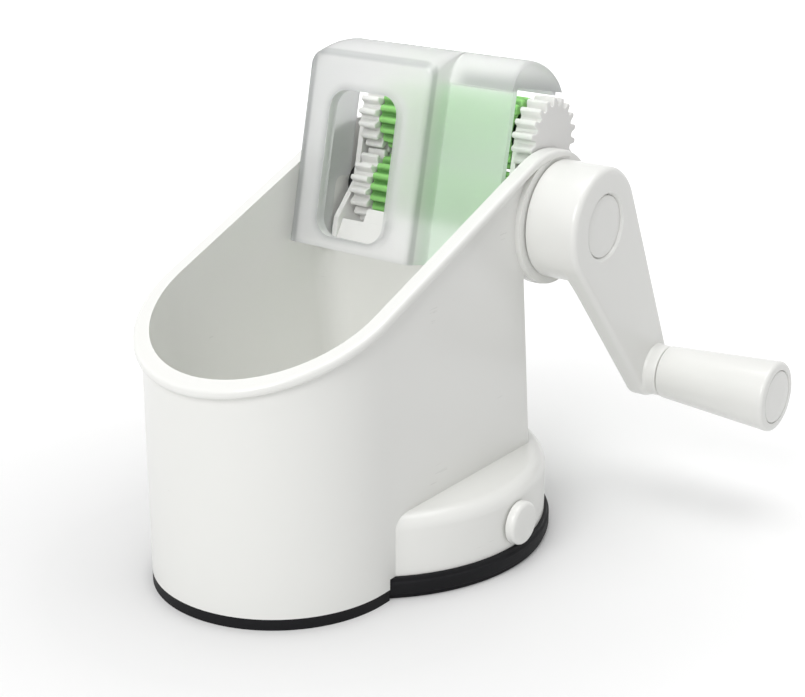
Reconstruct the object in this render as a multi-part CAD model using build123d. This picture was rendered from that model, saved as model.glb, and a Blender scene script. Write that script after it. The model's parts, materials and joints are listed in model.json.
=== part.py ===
from build123d import *
import os
from math import acos, atan, cos, hypot, pi, radians, sin, sqrt, tan

# Hand-cranked pea sheller. Millimetres, +Z up, front (low lip) towards -Y,
# crank towards +X. Origin: centre of the rounded front, on the table face.

# ---- body: bucket with a rounded front ------------------------------------
BODY_R = 38.2            # outer radius of the rounded front, half the width
WALL = 2.4
FOOT_H = 3.4             # black strip under the front
BACK_Y = 78.4            # rear edge at table height
BACK_LEAN = 0.09         # the rear edge leans forward this much per mm up
LIP_Z = 71.8             # rim height at the front lip
RIM_SLOPE = 0.40         # rise of the rim per mm towards the back
BEAD_OUT = 2.2           # rim bead stands out this far
BEAD_H = 3.2
BEAD_ROUND = 1.2
CROWN_BLEND_R = 30.0     # where the straight rim turns into the round cheek
FLOOR_TOP = 27.4
FLOOR_T = 2.2
BUCKET_FOOT_R = 3.0      # rounding along the bucket's floor
BUCKET_CORNER_R = 8.0    # rounding of its two rear corners
LEDGE_T = 1.6            # ledges on the walls that carry the hood
LEDGE_IN = 31.6
LEFT_LEDGE_V = (17.0, 20.6)
RIGHT_LEDGE_V = (21.5, 25.1)

# ---- suction base -----------------------------------------------------------
CUP_Y = 44.8             # centre of the suction cup
CUP_R = 56.0
CUP_H = 6.7
HOUSING_R = 54.4
HOUSING_TOP = 25.2
HOUSING_ROUND = 4.2      # rounding of the shoulder's edge
LEVER_Z = 14.2           # pivot height of the suction lever
CAM_SHAFT_R = 2.8
CAM_R = 5.0
CAM_THROW = 2.0
CAM_HALF_W = 4.0
CUP_LIP = (50.4, 43.0, 40.0)   # radii of the rim's inner edge and of the membrane's edge
CUP_MIDDLE_R = 13.5
CUP_UNDER = 2.0          # underside of the membrane in the middle
CUP_OVER = 3.8           # its upper side
CUP_EDGE_Z = 0.7         # underside and upper side at the membrane's edge
CUP_WEB_Z = 2.4
INSERT_R = 13.0
INSERT_Z = (3.85, 4.9)
STEM_FOOT = 4.6
STEM_R = 4.0
PLATE_R = 50.0
PLATE_Z = (5.3, 7.0)
BOSS_R = 3.2
BOSS_BORE_R = 1.22
PLATE_BOSS_BORE_TOP = 18.0
FOOT_BOSS_BORE_TOP = 16.0
PLATE_BOSS_RING = 43.0   # the bosses of the guide plate stand on this circle
PLATE_BOSS_ANGLES = (35, 145, 215, 325)
FOOT_BOSSES = ((0, -24.0), (-24.0, -18.0), (24.0, -18.0))
SCREW_R = 1.2
SCREW_LENGTH = 12.0
SCREW_SLOT = (0.7, 1.0)  # width and depth
FOOT_HEAD_R = 2.7
FOOT_HEAD_H = 1.3
FOOT_HEAD_Z = 0.3
PLATE_HEAD_R = 2.6
PLATE_HEAD_H = 1.6
LEVER_BOSS_R = 5.6
LEVER_BOSS_X = 45.0
LEVER_X = (-61.6, -55.4)
LEVER_HUB_R = 7.1
LEVER_REACH = 46.0
LEVER_HEAD_R = 2.7
PAD_LENGTH = 15.0        # thumb pad at the lever's end
PAD_OUT = 6.0
PAD_ROUND = 2.6
LEVER_CAP_R = 6.7
LEVER_CAP_X = (54.75, 57.8)

# ---- rollers and gears -------------------------------------------------------
AXIS_Y = 86.0            # crank and lower roller axis
AXIS_Z = 96.6
TILT = 12.5              # the upper roller leans back by this angle
GEAR_TEETH = 18
GEAR_MODULE = 1.3
CENTRES = GEAR_TEETH * GEAR_MODULE
GEAR_TIP_R = CENTRES / 2 + 0.8 * GEAR_MODULE
ROLLER_R = 11.35
ROLLER_X = (-23.5, 25.2)
LEFT_GEAR_X = (-30.6, -23.9)
RIGHT_GEAR_X = (27.8, 35.2)
SHAFT_R = 3.0
FLUTE_R = 1.05
BACKLASH = 0.18
BLIND_T = 1.6            # closed outer face of the upper right gear
WALL_BUSH_R = (5.0, 4.5) # right, left
UPPER_BUSH_R = 4.2
LEFT_PLATE_X = (-33.3, -31.5)
RIGHT_PLATE_X = (25.6, 27.2)
PLATE_HALF_W = 7.2
PLATE_FOOT_V = 15.0
TIE = (11.6, -15.2)      # the screws that tie plates and bar, as (v, u)
TIE_HEAD_R = 2.6
BAR_X = (-31.4, 25.5)
AXLE_CAP_R = 9.0
AXLE_CAP_T = 2.2
LEFT_BOSS_R = 11.0
SNUG = 0.02              # radial gap of a part pressed or keyed on a shaft
RUN = 0.06               # radial gap of a running fit

# ---- crank --------------------------------------------------------------------
COLLAR_R = 20.8
COLLAR_X = 39.9          # outer face of the collar on the right wall
HUB_R = 18.1
HUB_X = (40.3, 57.6)
ARM_T = 6.5
ARM_END_R = 9.2
ARM_ROUND = 1.6
HUB_CORE_R = 6.6
CAP_SEAT_R = 9.7
CAP_SEAT_DEPTH = 1.8
CAP_SUNK = 0.5           # the hub's cap lies this far below its face
CRANK_SCREW_R = 1.6
CRANK_HEAD_R = 4.2
GRIP_Y = 121.4
GRIP_Z = 40.8
GRIP_BOSS_R = 8.2        # round boss of the arm that the grip runs against
GRIP_BOSS_X = 61.8
GRIP_X = (62.2, 100.8)
GRIP_R = (8.6, 11.3)
GRIP_ROUND = 0.9
PIN_R = 2.8
PIN_HEAD_R = 4.6
PIN_HEAD_X = (95.2, 97.0)
PLUG_R = 8.35
PLUG_SEAT = 2.0

# ---- hood, in the tilted frame of the rollers: v forwards, u up ---------------
HOOD_T = 2.0
HOOD_X = (-35.2, 34.6)
BOX_X1 = 11.9            # right side of the raised feed box
PANEL_V = 25.5
BOX_V = 35.6
BOX_TOP = 41.6           # top of the feed box's front
BOX_ROUND = 3.4
HOOD_BOTTOM = -19.0
CREST = (17.0, 46.0)
ROOF_BACK = (-3.2, 37.2)
ROOF_EDGE = 36.4         # the front panel turns into the roof here
HOOD_OPEN = 20.0         # the inside is cut this far past the open back and bottom
WINDOW_X = (-24.4, 1.0)
WINDOW_U = (-15.2, 30.0)
WINDOW_ROUND = 6.0
LIP_W = 1.5              # raised edge round the window's back
LIP_T = 2.5
PLATE_NOTCH = (-12.0, 9.6, 32.0)   # v from, v to and top of the notch for the bearing plate
SHAFT_NOTCH = (0.0, 16.4, 2.0)

FAR = 160.0              # past every edge of the part
INNER = BODY_R - WALL
TILTED = Location((0, AXIS_Y, AXIS_Z), (-TILT, 0, 0))
LOWER = (AXIS_Y, AXIS_Z)
UPPER = (AXIS_Y + CENTRES * sin(radians(TILT)), AXIS_Z + CENTRES * cos(radians(TILT)))


def rim_z(y):
    """Height of the rim plane above a place along the body."""
    return LIP_Z + RIM_SLOPE * (y + BODY_R)


def back_y(z):
    """Rear edge of the body at a height."""
    return BACK_Y - BACK_LEAN * z


def prism_x(sketch, x0, x1):
    """A YZ outline made solid between two X planes."""
    return extrude(Plane.YZ.offset(x0) * sketch, x1 - x0)


def wide(sketch):
    """A YZ outline made solid across the whole part."""
    return prism_x(sketch, -FAR, FAR)


def tall(sketch):
    """An XY outline made solid from the table to above the whole part."""
    return extrude(sketch, FAR)


def rod_x(y, z, r, x0, x1):
    """A cylinder along X."""
    rod = Cylinder(r, x1 - x0, align=(Align.CENTER, Align.CENTER, Align.MIN))
    return Pos(x0, y, z) * Rot(0, 90, 0) * rod


def rod_z(x, y, r, z0, z1):
    """A cylinder along Z."""
    rod = Cylinder(r, z1 - z0, align=(Align.CENTER, Align.CENTER, Align.MIN))
    return Pos(x, y, z0) * rod


def block(x0, x1, y0, y1, z0, z1):
    """A box between two corners."""
    return Pos((x0 + x1) / 2, (y0 + y1) / 2, (z0 + z1) / 2) * Box(x1 - x0, y1 - y0, z1 - z0)


def outline(*points):
    """A closed polygon as a face."""
    return make_face(Polyline(*points, close=True))


def polygon_vu(*points):
    """A closed polygon given as (v, u) pairs, in the tilted YZ plane."""
    return outline(*[(-v, u) for v, u in points])


def u_plan(r, y1):
    """Plan of the body: round at the front, straight sides back to y1."""
    return Circle(r) + Pos(0, y1 / 2) * Rectangle(2 * r, y1)


# ---- body ---------------------------------------------------------------------
def crown():
    """Side outline where the straight rim blends into the bearing collar."""
    slope = atan(RIM_SLOPE)
    off = (rim_z(AXIS_Y) - AXIS_Z) * cos(slope)
    down = CROWN_BLEND_R - off
    ahead = sqrt((CROWN_BLEND_R - COLLAR_R) ** 2 - down ** 2)
    up = (-sin(slope), cos(slope))
    along = (cos(slope), sin(slope))
    centre = (AXIS_Y - down * up[0] - ahead * along[0], AXIS_Z - down * up[1] - ahead * along[1])
    start = (centre[0] + CROWN_BLEND_R * up[0], centre[1] + CROWN_BLEND_R * up[1])
    reach = hypot(AXIS_Y - centre[0], AXIS_Z - centre[1])
    out = ((AXIS_Y - centre[0]) / reach, (AXIS_Z - centre[1]) / reach)
    end = (AXIS_Y + COLLAR_R * out[0], AXIS_Z + COLLAR_R * out[1])
    turn = ((up[0] + out[0]) / 2, (up[1] + out[1]) / 2)
    size = hypot(*turn)
    middle = (centre[0] + CROWN_BLEND_R * turn[0] / size, centre[1] + CROWN_BLEND_R * turn[1] / size)
    return start, middle, end


def rear_corner():
    """Place where the rear edge meets the round bearing cheek from below."""
    a = 1 + BACK_LEAN ** 2
    reach = BACK_Y - AXIS_Y
    b = -2 * (BACK_LEAN * reach + AXIS_Z)
    c = reach ** 2 + AXIS_Z ** 2 - COLLAR_R ** 2
    z = (-b - sqrt(b * b - 4 * a * c)) / (2 * a)
    return back_y(z), z


def side_outline():
    """Side view of the body: bucket, slanted rim and round bearing cheek."""
    start, middle, end = crown()
    front = -FAR
    edge = Polyline(rear_corner(), (back_y(FOOT_H), FOOT_H), (front, FOOT_H),
                    (front, rim_z(front)), start)
    edge += ThreePointArc(start, middle, end)
    edge += ThreePointArc(end, (AXIS_Y + COLLAR_R, AXIS_Z), rear_corner())
    return make_face(edge)


def rim_band():
    """Side view of the strip along the rim that carries the bead."""
    lift = 0.05
    start, middle, end = [(y, z + lift) for y, z in crown()]
    low_start, low_middle, low_end = [(y, z - BEAD_H) for y, z in (start, middle, end)]
    front = -FAR
    edge = Polyline(low_end, end)
    edge += ThreePointArc(end, middle, start)
    edge += Polyline(start, (front, rim_z(front) + lift), (front, rim_z(front) + lift - BEAD_H),
                     low_start)
    edge += ThreePointArc(low_start, low_middle, low_end)
    return make_face(edge)


def rim_bead():
    """Slab across the rim whose rounded outer edge is the bead."""
    slab = tall(u_plan(BODY_R + BEAD_OUT, FAR)) & wide(rim_band())
    long_edges = [e for e in slab.edges() if e.length > BEAD_H + 1]
    outer = [e for e in long_edges if e.center().Y < -BODY_R or abs(e.center().X) > BODY_R]
    return fillet(outer, BEAD_ROUND)


def plate_bosses():
    """Plan places of the screw bosses that carry the guide plate."""
    ring = PLATE_BOSS_RING
    turns = [radians(angle) for angle in PLATE_BOSS_ANGLES]
    return [(ring * sin(turn), CUP_Y + ring * cos(turn)) for turn in turns]


def boss(x, y, bottom, top, bore_top):
    """A screw boss under a floor, with its pilot bore."""
    return rod_z(x, y, BOSS_R, bottom, top) - rod_z(x, y, BOSS_BORE_R, 0, bore_top)


def bucket():
    """The space inside the bucket, up to its rear wall."""
    rear = outline((-FAR, FLOOR_TOP), (back_y(FLOOR_TOP) - WALL, FLOOR_TOP),
                   (back_y(FAR) - WALL, FAR), (-FAR, FAR))
    space = tall(u_plan(INNER, FAR)) & prism_x(rear, -INNER, INNER)
    corners = [e for e in space.edges() if e.center().Y > CUP_Y and abs(e.center().X) > INNER - 1
               and abs(e.tangent_at(0.5).Z) > 0.9]
    space = fillet(corners, BUCKET_CORNER_R)
    return fillet(space.edges().group_by(Axis.Z)[0], BUCKET_FOOT_R)


def ledge(side, span_v):
    """A ledge on a side wall that carries the hood."""
    x0, x1 = sorted((side * (INNER + 0.5), side * LEDGE_IN))
    top = HOOD_BOTTOM - 0.3
    return TILTED * block(x0, x1, -span_v[1], -span_v[0], top - LEDGE_T, top)


def body_shell():
    """White moulding: bucket, bearing cheeks and suction housing in one."""
    walls = tall(u_plan(BODY_R, FAR)) & wide(side_outline())
    dome = rod_z(0, CUP_Y, HOUSING_R, CUP_H, HOUSING_TOP)
    dome = fillet(dome.edges().sort_by(Axis.Z)[-1], HOUSING_ROUND)
    shell = walls + dome + rim_bead()
    shell += rod_x(AXIS_Y, AXIS_Z, COLLAR_R - 0.3, INNER + 0.5, COLLAR_X)
    shell += rod_x(AXIS_Y, AXIS_Z, LEFT_BOSS_R, -COLLAR_X, -INNER - 0.5)
    shell -= bucket()
    # open space for the rollers, above and behind the rear wall
    shell -= TILTED * block(-INNER, INNER, -FAR, FAR, HOOD_BOTTOM - 0.5, FAR)
    behind = outline((back_y(HOUSING_TOP), HOUSING_TOP), (FAR, HOUSING_TOP), (FAR, FAR),
                     (back_y(FAR), FAR))
    shell -= prism_x(behind, -INNER, INNER)
    # room below for the suction mechanism
    shell -= rod_z(0, CUP_Y, HOUSING_R - WALL, -1, HOUSING_TOP - FLOOR_T)
    inside = u_plan(INNER, back_y(HOUSING_TOP) - WALL)
    shell -= extrude(Pos(0, 0, -1) * inside, HOUSING_TOP + 1)
    shell -= rod_z(0, CUP_Y, CUP_R + 0.3, -1, CUP_H)
    for x, y in plate_bosses():
        top = HOUSING_TOP + (1 if y < CUP_Y else -1)
        shell += boss(x, y, CUP_H + 0.3, top, PLATE_BOSS_BORE_TOP)
    for x, y in FOOT_BOSSES:
        shell += boss(x, y, FOOT_H, HOUSING_TOP + 1, FOOT_BOSS_BORE_TOP)
    for x0, x1 in ((1 - HOUSING_R, -LEVER_BOSS_X), (LEVER_BOSS_X, HOUSING_R - 1)):
        shell += rod_x(CUP_Y, LEVER_Z, LEVER_BOSS_R, x0, x1)
    shell -= rod_x(CUP_Y, LEVER_Z, CAM_SHAFT_R + RUN, -FAR, FAR)
    shell += ledge(-1, LEFT_LEDGE_V) + ledge(1, RIGHT_LEDGE_V)
    # the bead stops short of the turning hub
    shell -= rod_x(AXIS_Y, AXIS_Z, HUB_R + 0.9, COLLAR_X, FAR)
    shell -= rod_x(AXIS_Y, AXIS_Z, WALL_BUSH_R[0], INNER - WALL, FAR)
    return shell - rod_x(AXIS_Y, AXIS_Z, WALL_BUSH_R[1], -FAR, WALL - INNER)


def front_foot():
    """Black foot that closes the underside in front of the suction cup."""
    slab = extrude(u_plan(BODY_R, CUP_Y), FOOT_H) - rod_z(0, CUP_Y, CUP_R + 0.5, -1, FAR)
    for x, y in FOOT_BOSSES:
        slab -= rod_z(x, y, SCREW_R + 0.4, -1, FAR)
        slab -= rod_z(x, y, FOOT_HEAD_R + 0.3, -1, FOOT_HEAD_Z + FOOT_HEAD_H + 0.1)
    return slab


def screw_z(x, y, head_z, head_r, head_h):
    """A screw driven upwards, its slotted head lowest."""
    slot_w, slot_depth = SCREW_SLOT
    shoulder = head_z + head_h
    screw = rod_z(x, y, head_r, head_z, shoulder)
    screw += rod_z(x, y, SCREW_R, shoulder, shoulder + SCREW_LENGTH)
    return screw - Pos(x, y, head_z) * Box(2.4 * head_r, slot_w, slot_depth)


def foot_screws():
    """Three screws that hold the front foot."""
    size = (FOOT_HEAD_Z, FOOT_HEAD_R, FOOT_HEAD_H)
    return Compound([screw_z(x, y, *size) for x, y in FOOT_BOSSES])


def guide_plate():
    """Black plate above the cup that guides the stem."""
    bottom, top = PLATE_Z
    plate = rod_z(0, CUP_Y, PLATE_R, bottom, top)
    plate += rod_z(0, CUP_Y, STEM_R + 3, bottom, top + 0.35)
    plate -= rod_z(0, CUP_Y, STEM_R + RUN, 0, FAR)
    for x, y in plate_bosses():
        plate -= rod_z(x, y, SCREW_R + 0.3, 0, FAR)
    return plate


def plate_screws():
    """Four screws that hold the guide plate in the housing."""
    size = (PLATE_Z[0] - PLATE_HEAD_H, PLATE_HEAD_R, PLATE_HEAD_H)
    return Compound([screw_z(x, y, *size) for x, y in plate_bosses()])


def suction_cup():
    """Black rubber cup: a tall rim and a thin domed membrane."""
    rim_in, foot_in, membrane = CUP_LIP
    section = outline((0, CUP_UNDER), (CUP_MIDDLE_R, CUP_UNDER), (membrane, CUP_EDGE_Z),
                      (foot_in, 0), (CUP_R, 0), (CUP_R, CUP_H), (rim_in, CUP_H),
                      (rim_in, CUP_WEB_Z), (CUP_MIDDLE_R, CUP_OVER), (0, CUP_OVER))
    return Pos(0, CUP_Y, 0) * revolve(Plane.XZ * section, Axis.Z)


# ---- suction stem and lever -----------------------------------------------------
def cup_stem():
    """Pulling stem: a shank with an oblong eye round the cam."""
    eye_z = LEVER_Z + CAM_THROW + 0.2
    half_w = CAM_R + CAM_THROW + 0.4
    half_h = CAM_R + 0.6
    rim = Pos(CUP_Y, eye_z) * SlotOverall(2 * half_w + 3.4, 2 * half_h + 2.8)
    hole = Pos(CUP_Y, eye_z) * SlotOverall(2 * half_w, 2 * half_h)
    eye = prism_x(rim - hole, -CAM_HALF_W, CAM_HALF_W)
    return eye + rod_z(0, CUP_Y, STEM_R, STEM_FOOT, eye_z - half_h - 0.5)


def cup_insert():
    """Round plate moulded into the middle of the cup."""
    bottom, top = INSERT_Z
    return rod_z(0, CUP_Y, INSERT_R, bottom, top) - rod_z(0, CUP_Y, STEM_R + SNUG, STEM_FOOT, FAR)


def cam_shaft():
    """Cross shaft with the cam that lifts the stem."""
    rod = rod_x(CUP_Y, LEVER_Z, CAM_SHAFT_R, LEVER_X[0] + 1.1, LEVER_CAP_X[1] - 1.2)
    rod -= rod_x(CUP_Y, LEVER_Z, SCREW_R, -FAR, LEVER_X[1] + 5.4)
    return rod + rod_x(CUP_Y, LEVER_Z + CAM_THROW, CAM_R, -CAM_HALF_W, CAM_HALF_W)


def suction_lever():
    """Black lever on the left side, lying back when the cup holds."""
    x0, x1 = LEVER_X
    tip_y = CUP_Y + LEVER_REACH
    hub = prism_x(Pos(CUP_Y, LEVER_Z) * Circle(LEVER_HUB_R), x0, x1)
    blade = outline((CUP_Y, LEVER_Z - 6.0), (tip_y, LEVER_Z - 4.6), (tip_y, LEVER_Z + 3.4),
                    (CUP_Y, LEVER_Z + 6.0))
    arm = prism_x(blade, x0 + 1.2, x1)
    tip = prism_x(Pos(tip_y, LEVER_Z - 0.6) * Circle(4.0), x0 + 1.2, x1)
    pad = block(x0 - PAD_OUT, x1 - 0.6, tip_y + 2 - PAD_LENGTH, tip_y + 2, LEVER_Z - 3.6,
                LEVER_Z - 0.4)
    lever = hub + arm + tip + fillet(pad.edges().filter_by(Axis.Z), PAD_ROUND)
    lever -= rod_x(CUP_Y, LEVER_Z, CAM_SHAFT_R + SNUG, x0 + 1, FAR)
    lever -= rod_x(CUP_Y, LEVER_Z, SCREW_R + 0.3, -FAR, FAR)
    return lever - rod_x(CUP_Y, LEVER_Z, LEVER_HEAD_R + 0.3, -FAR, x0 + 0.6)


def lever_screw():
    """Screw that holds the lever on the cross shaft."""
    seat = LEVER_X[0] + 0.6
    head = rod_x(CUP_Y, LEVER_Z, LEVER_HEAD_R, seat - 1.2, seat)
    return head + rod_x(CUP_Y, LEVER_Z, SCREW_R - SNUG, seat, seat + 9)


def lever_cap():
    """White round cap on the right end of the cross shaft."""
    x0, x1 = LEVER_CAP_X
    cap = rod_x(CUP_Y, LEVER_Z, LEVER_CAP_R, x0, x1)
    cap = fillet(cap.edges().sort_by(Axis.X)[-1], 1.2)
    return cap - rod_x(CUP_Y, LEVER_Z, CAM_SHAFT_R + SNUG, 0, x1 - 1.15)


# ---- bearing frame between the walls -----------------------------------------------
def bearing_plate(x0, x1):
    """Upright plate with a bore for each roller axis."""
    half, low = PLATE_HALF_W, HOOD_BOTTOM - 0.4
    spine = polygon_vu((half, 0), (half, CENTRES), (-half, CENTRES), (-half, 0))
    foot = polygon_vu((PLATE_FOOT_V, -11.5), (PLATE_FOOT_V, low), (4.6, low), (-half, -2.0),
                      (-7.0, 3.0), (half, 1.0))
    face = spine + foot + Circle(half) + Pos(0, CENTRES) * Circle(half)
    face -= Circle(SHAFT_R + 0.5) + Pos(0, CENTRES) * Circle(UPPER_BUSH_R)
    face -= Pos(-TIE[0], TIE[1]) * Circle(SCREW_R + 0.3)
    return TILTED * prism_x(face, x0, x1)


def tie_rod(r, x0, x1):
    """A cylinder on the line of the screws that tie plates and bar."""
    return rod_x(-TIE[0], TIE[1], r, x0, x1)


def stripper_bar():
    """Bar on the rear wall whose edge keeps peas off the lower roller."""
    low = HOOD_BOTTOM - 0.4
    base = polygon_vu((15.4, low), (8.6, low), (8.4, -12.6), (12.6, -11.6))
    edge = polygon_vu((12.8, -12.4), (8.4, -12.6), (8.6, -9.4), (9.7, -7.6), (10.9, -7.3))
    bar = prism_x(base, *BAR_X) + prism_x(edge, ROLLER_X[0] + 0.3, ROLLER_X[1] - 0.3)
    bar -= tie_rod(BOSS_BORE_R, -FAR, BAR_X[0] + 9.4)
    return TILTED * (bar - tie_rod(BOSS_BORE_R, BAR_X[1] - 7.5, FAR))


def frame_screws():
    """Two screws that tie the bearing plates to the bar."""
    left = LEFT_PLATE_X[0] - 0.05
    right = RIGHT_PLATE_X[1] + 0.05
    first = tie_rod(SCREW_R, left - 0.05, -24.0) + tie_rod(TIE_HEAD_R, left - 1.25, left)
    second = tie_rod(SCREW_R, 20.0, right + 0.05) + tie_rod(TIE_HEAD_R, right, right + 1.15)
    return Compound([TILTED * first, TILTED * second])


def bush_x(centre, r, x0, x1):
    """A bearing bush bored for a roller shaft."""
    y, z = centre
    return rod_x(y, z, r - SNUG, x0, x1) - rod_x(y, z, SHAFT_R + RUN, -FAR, FAR)


def right_wall_bush():
    """Flanged bush of the lower shaft in the right wall."""
    flange = bush_x(LOWER, WALL_BUSH_R[0] + 2, COLLAR_X, COLLAR_X + 1.1)
    return bush_x(LOWER, WALL_BUSH_R[0], INNER + 0.1, COLLAR_X + 0.1) + flange


def left_wall_bush():
    """Flanged bush of the lower shaft in the left wall."""
    flange = bush_x(LOWER, WALL_BUSH_R[1] + 1.9, -INNER, 1.1 - INNER)
    return bush_x(LOWER, WALL_BUSH_R[1], -COLLAR_X, 0.8 - INNER) + flange


def axle_cap():
    """White cover over the left end of the lower shaft."""
    cap = rod_x(AXIS_Y, AXIS_Z, AXLE_CAP_R, -COLLAR_X - AXLE_CAP_T, -COLLAR_X)
    return fillet(cap.edges().sort_by(Axis.X)[0], 1.4)


# ---- rollers, gears and shafts --------------------------------------------------------
def tooth_half_angle(r, pitch_r, base_r, half):
    """Half the angle of an involute tooth at a radius."""
    def inv(angle):
        return tan(angle) - angle
    return half + inv(acos(base_r / pitch_r)) - inv(acos(min(1.0, base_r / r)))


def gear_face(first_tooth):
    """Outline of a spur gear with a tooth centred on an angle in degrees."""
    pitch_r = CENTRES / 2
    base_r = pitch_r * cos(radians(20))
    tip_r = GEAR_TIP_R
    root_r = pitch_r - 1.08 * GEAR_MODULE
    half = pi / (2 * GEAR_TEETH) - BACKLASH / pitch_r
    low = max(base_r, root_r)
    radii = [low + i * (tip_r - low) / 4 for i in range(5)]
    flank = [(r, tooth_half_angle(r, pitch_r, base_r, half)) for r in radii]
    points = []
    for k in range(GEAR_TEETH):
        mid = radians(first_tooth) + 2 * pi * k / GEAR_TEETH
        rising = [(root_r, flank[0][1])] + flank
        for r, a in rising:
            points.append((r * cos(mid - a), r * sin(mid - a)))
        points.append(((tip_r + 0.02) * cos(mid), (tip_r + 0.02) * sin(mid)))
        for r, a in reversed(rising):
            points.append((r * cos(mid + a), r * sin(mid + a)))
    return outline(*points)


def gear(x_range, centre, first_tooth, blind):
    """White spur gear on a shaft, with a shallow recess in its outer face."""
    y, z = centre
    x0, x1 = x_range
    wheel = Pos(0, y, z) * prism_x(gear_face(first_tooth), x0, x1)
    bore_end = x1 - BLIND_T if blind else FAR
    return wheel - rod_x(y, z, SHAFT_R + SNUG, x0 - 1, bore_end)


def roller(centre, phase):
    """Green fluted roller sleeve."""
    y, z = centre
    face = Circle(ROLLER_R)
    for k in range(GEAR_TEETH):
        a = radians(phase) + 2 * pi * k / GEAR_TEETH
        face -= Pos((ROLLER_R + 0.1) * cos(a), (ROLLER_R + 0.1) * sin(a)) * Circle(FLUTE_R)
    face -= Circle(SHAFT_R + SNUG)
    return Pos(0, y, z) * prism_x(face, *ROLLER_X)


def upper_bush(x0, x1):
    """Bearing bush of the upper shaft in a bearing plate."""
    return bush_x(UPPER, UPPER_BUSH_R, x0, x1)


def shaft(centre, x0, x1):
    """Steel roller shaft."""
    y, z = centre
    return rod_x(y, z, SHAFT_R, x0, x1)


# ---- crank -----------------------------------------------------------------------------
def arm_outline():
    """Tapered arm: two round ends joined by their common tangents."""
    dy, dz = GRIP_Y - AXIS_Y, GRIP_Z - AXIS_Z
    reach = hypot(dy, dz)
    along = (dy / reach, dz / reach)
    lean = (HUB_R - ARM_END_R) / reach
    side = sqrt(1 - lean ** 2)
    ends = []
    for s in (1, -1):
        n = (lean * along[0] - s * side * along[1], lean * along[1] + s * side * along[0])
        near = (AXIS_Y + HUB_R * n[0], AXIS_Z + HUB_R * n[1])
        far = (GRIP_Y + ARM_END_R * n[0], GRIP_Z + ARM_END_R * n[1])
        ends.append((near, far))
    (a, b), (d, c) = ends
    web = outline(a, b, c, d)
    return web + Pos(AXIS_Y, AXIS_Z) * Circle(HUB_R) + Pos(GRIP_Y, GRIP_Z) * Circle(ARM_END_R)


def crank_arm():
    """White crank: hollow round hub, tapered arm and a boss for the grip."""
    x0, x1 = HUB_X
    back = x1 - ARM_T
    arm = prism_x(arm_outline(), back, x1)
    arm += rod_x(AXIS_Y, AXIS_Z, HUB_R, x0, back)
    rounded = [e for e in arm.edges() if abs(e.center().X - x1) < 0.01]
    arm = fillet(rounded, ARM_ROUND)
    arm += rod_x(GRIP_Y, GRIP_Z, GRIP_BOSS_R, x1 - 1, GRIP_BOSS_X)
    arm -= rod_x(AXIS_Y, AXIS_Z, HUB_R - WALL, x0 - 1, back)
    arm += rod_x(AXIS_Y, AXIS_Z, HUB_CORE_R, x0 + 2.4, x1 - 5)
    arm -= rod_x(AXIS_Y, AXIS_Z, SHAFT_R + SNUG, x0, x1 - 5.5)
    arm -= rod_x(AXIS_Y, AXIS_Z, CRANK_SCREW_R + 0.2, x0, x1)
    arm -= rod_x(AXIS_Y, AXIS_Z, CRANK_HEAD_R + 1, x1 - 4.2, FAR)
    arm -= rod_x(AXIS_Y, AXIS_Z, CAP_SEAT_R, x1 - CAP_SEAT_DEPTH, FAR)
    return arm - rod_x(GRIP_Y, GRIP_Z, PIN_R + SNUG, back - 1, FAR)


def hub_cap():
    """Round cap sunk in the hub's face."""
    x1 = HUB_X[1]
    cap = rod_x(AXIS_Y, AXIS_Z, CAP_SEAT_R - 0.1, x1 - CAP_SEAT_DEPTH + 0.1, x1 - CAP_SUNK)
    return fillet(cap.edges().sort_by(Axis.X)[-1], 0.4)


def crank_screw():
    """Screw that holds the crank on the shaft."""
    x1 = HUB_X[1]
    screw = rod_x(AXIS_Y, AXIS_Z, CRANK_SCREW_R, x1 - 15, x1 - 4.1)
    screw += rod_x(AXIS_Y, AXIS_Z, CRANK_HEAD_R, x1 - 4.15, x1 - 2.1)
    return screw - Pos(x1 - 2.1, AXIS_Y, AXIS_Z) * Box(1.6, 6.4, 1.0)


def lower_shaft():
    """Driven shaft, tapped for the crank screw."""
    rod = shaft(LOWER, -COLLAR_X + 0.3, HUB_X[1] - 5.6)
    return rod - rod_x(AXIS_Y, AXIS_Z, CRANK_SCREW_R + SNUG, HUB_X[1] - 16, HUB_X[1])


def thrust_washer():
    """Thin washer between the drive gear and the wall bush."""
    start = RIGHT_GEAR_X[1] + SNUG
    ring = rod_x(AXIS_Y, AXIS_Z, 5.5, start, start + 0.33)
    return ring - rod_x(AXIS_Y, AXIS_Z, SHAFT_R + SNUG, 0, FAR)


def grip_pin():
    """Shouldered pin that the grip turns on."""
    start, end = PIN_HEAD_X
    pin = rod_x(GRIP_Y, GRIP_Z, PIN_R, HUB_X[1] - ARM_T, start)
    return pin + rod_x(GRIP_Y, GRIP_Z, PIN_HEAD_R, start, end)


def grip():
    """Free-turning conical grip."""
    x0, x1 = GRIP_X
    r0, r1 = GRIP_R
    upright = (Align.CENTER, Align.CENTER, Align.MIN)
    cone = Pos(x0, GRIP_Y, GRIP_Z) * Rot(0, 90, 0) * Cone(r0, r1, x1 - x0, align=upright)
    cone = fillet(cone.edges().sort_by(Axis.X)[-1], GRIP_ROUND)
    cone -= rod_x(GRIP_Y, GRIP_Z, PIN_R + RUN, 0, FAR)
    cone -= rod_x(GRIP_Y, GRIP_Z, PIN_HEAD_R + 0.8, PIN_HEAD_X[0] - 0.4, FAR)
    return cone - rod_x(GRIP_Y, GRIP_Z, PLUG_R + 0.05, x1 - PLUG_SEAT, FAR)


def grip_cap():
    """Round plug in the end of the grip."""
    x1 = GRIP_X[1]
    cap = rod_x(GRIP_Y, GRIP_Z, PLUG_R, x1 - PLUG_SEAT + 0.1, x1 + 0.1)
    return fillet(cap.edges().sort_by(Axis.X)[-1], 0.4)


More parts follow.
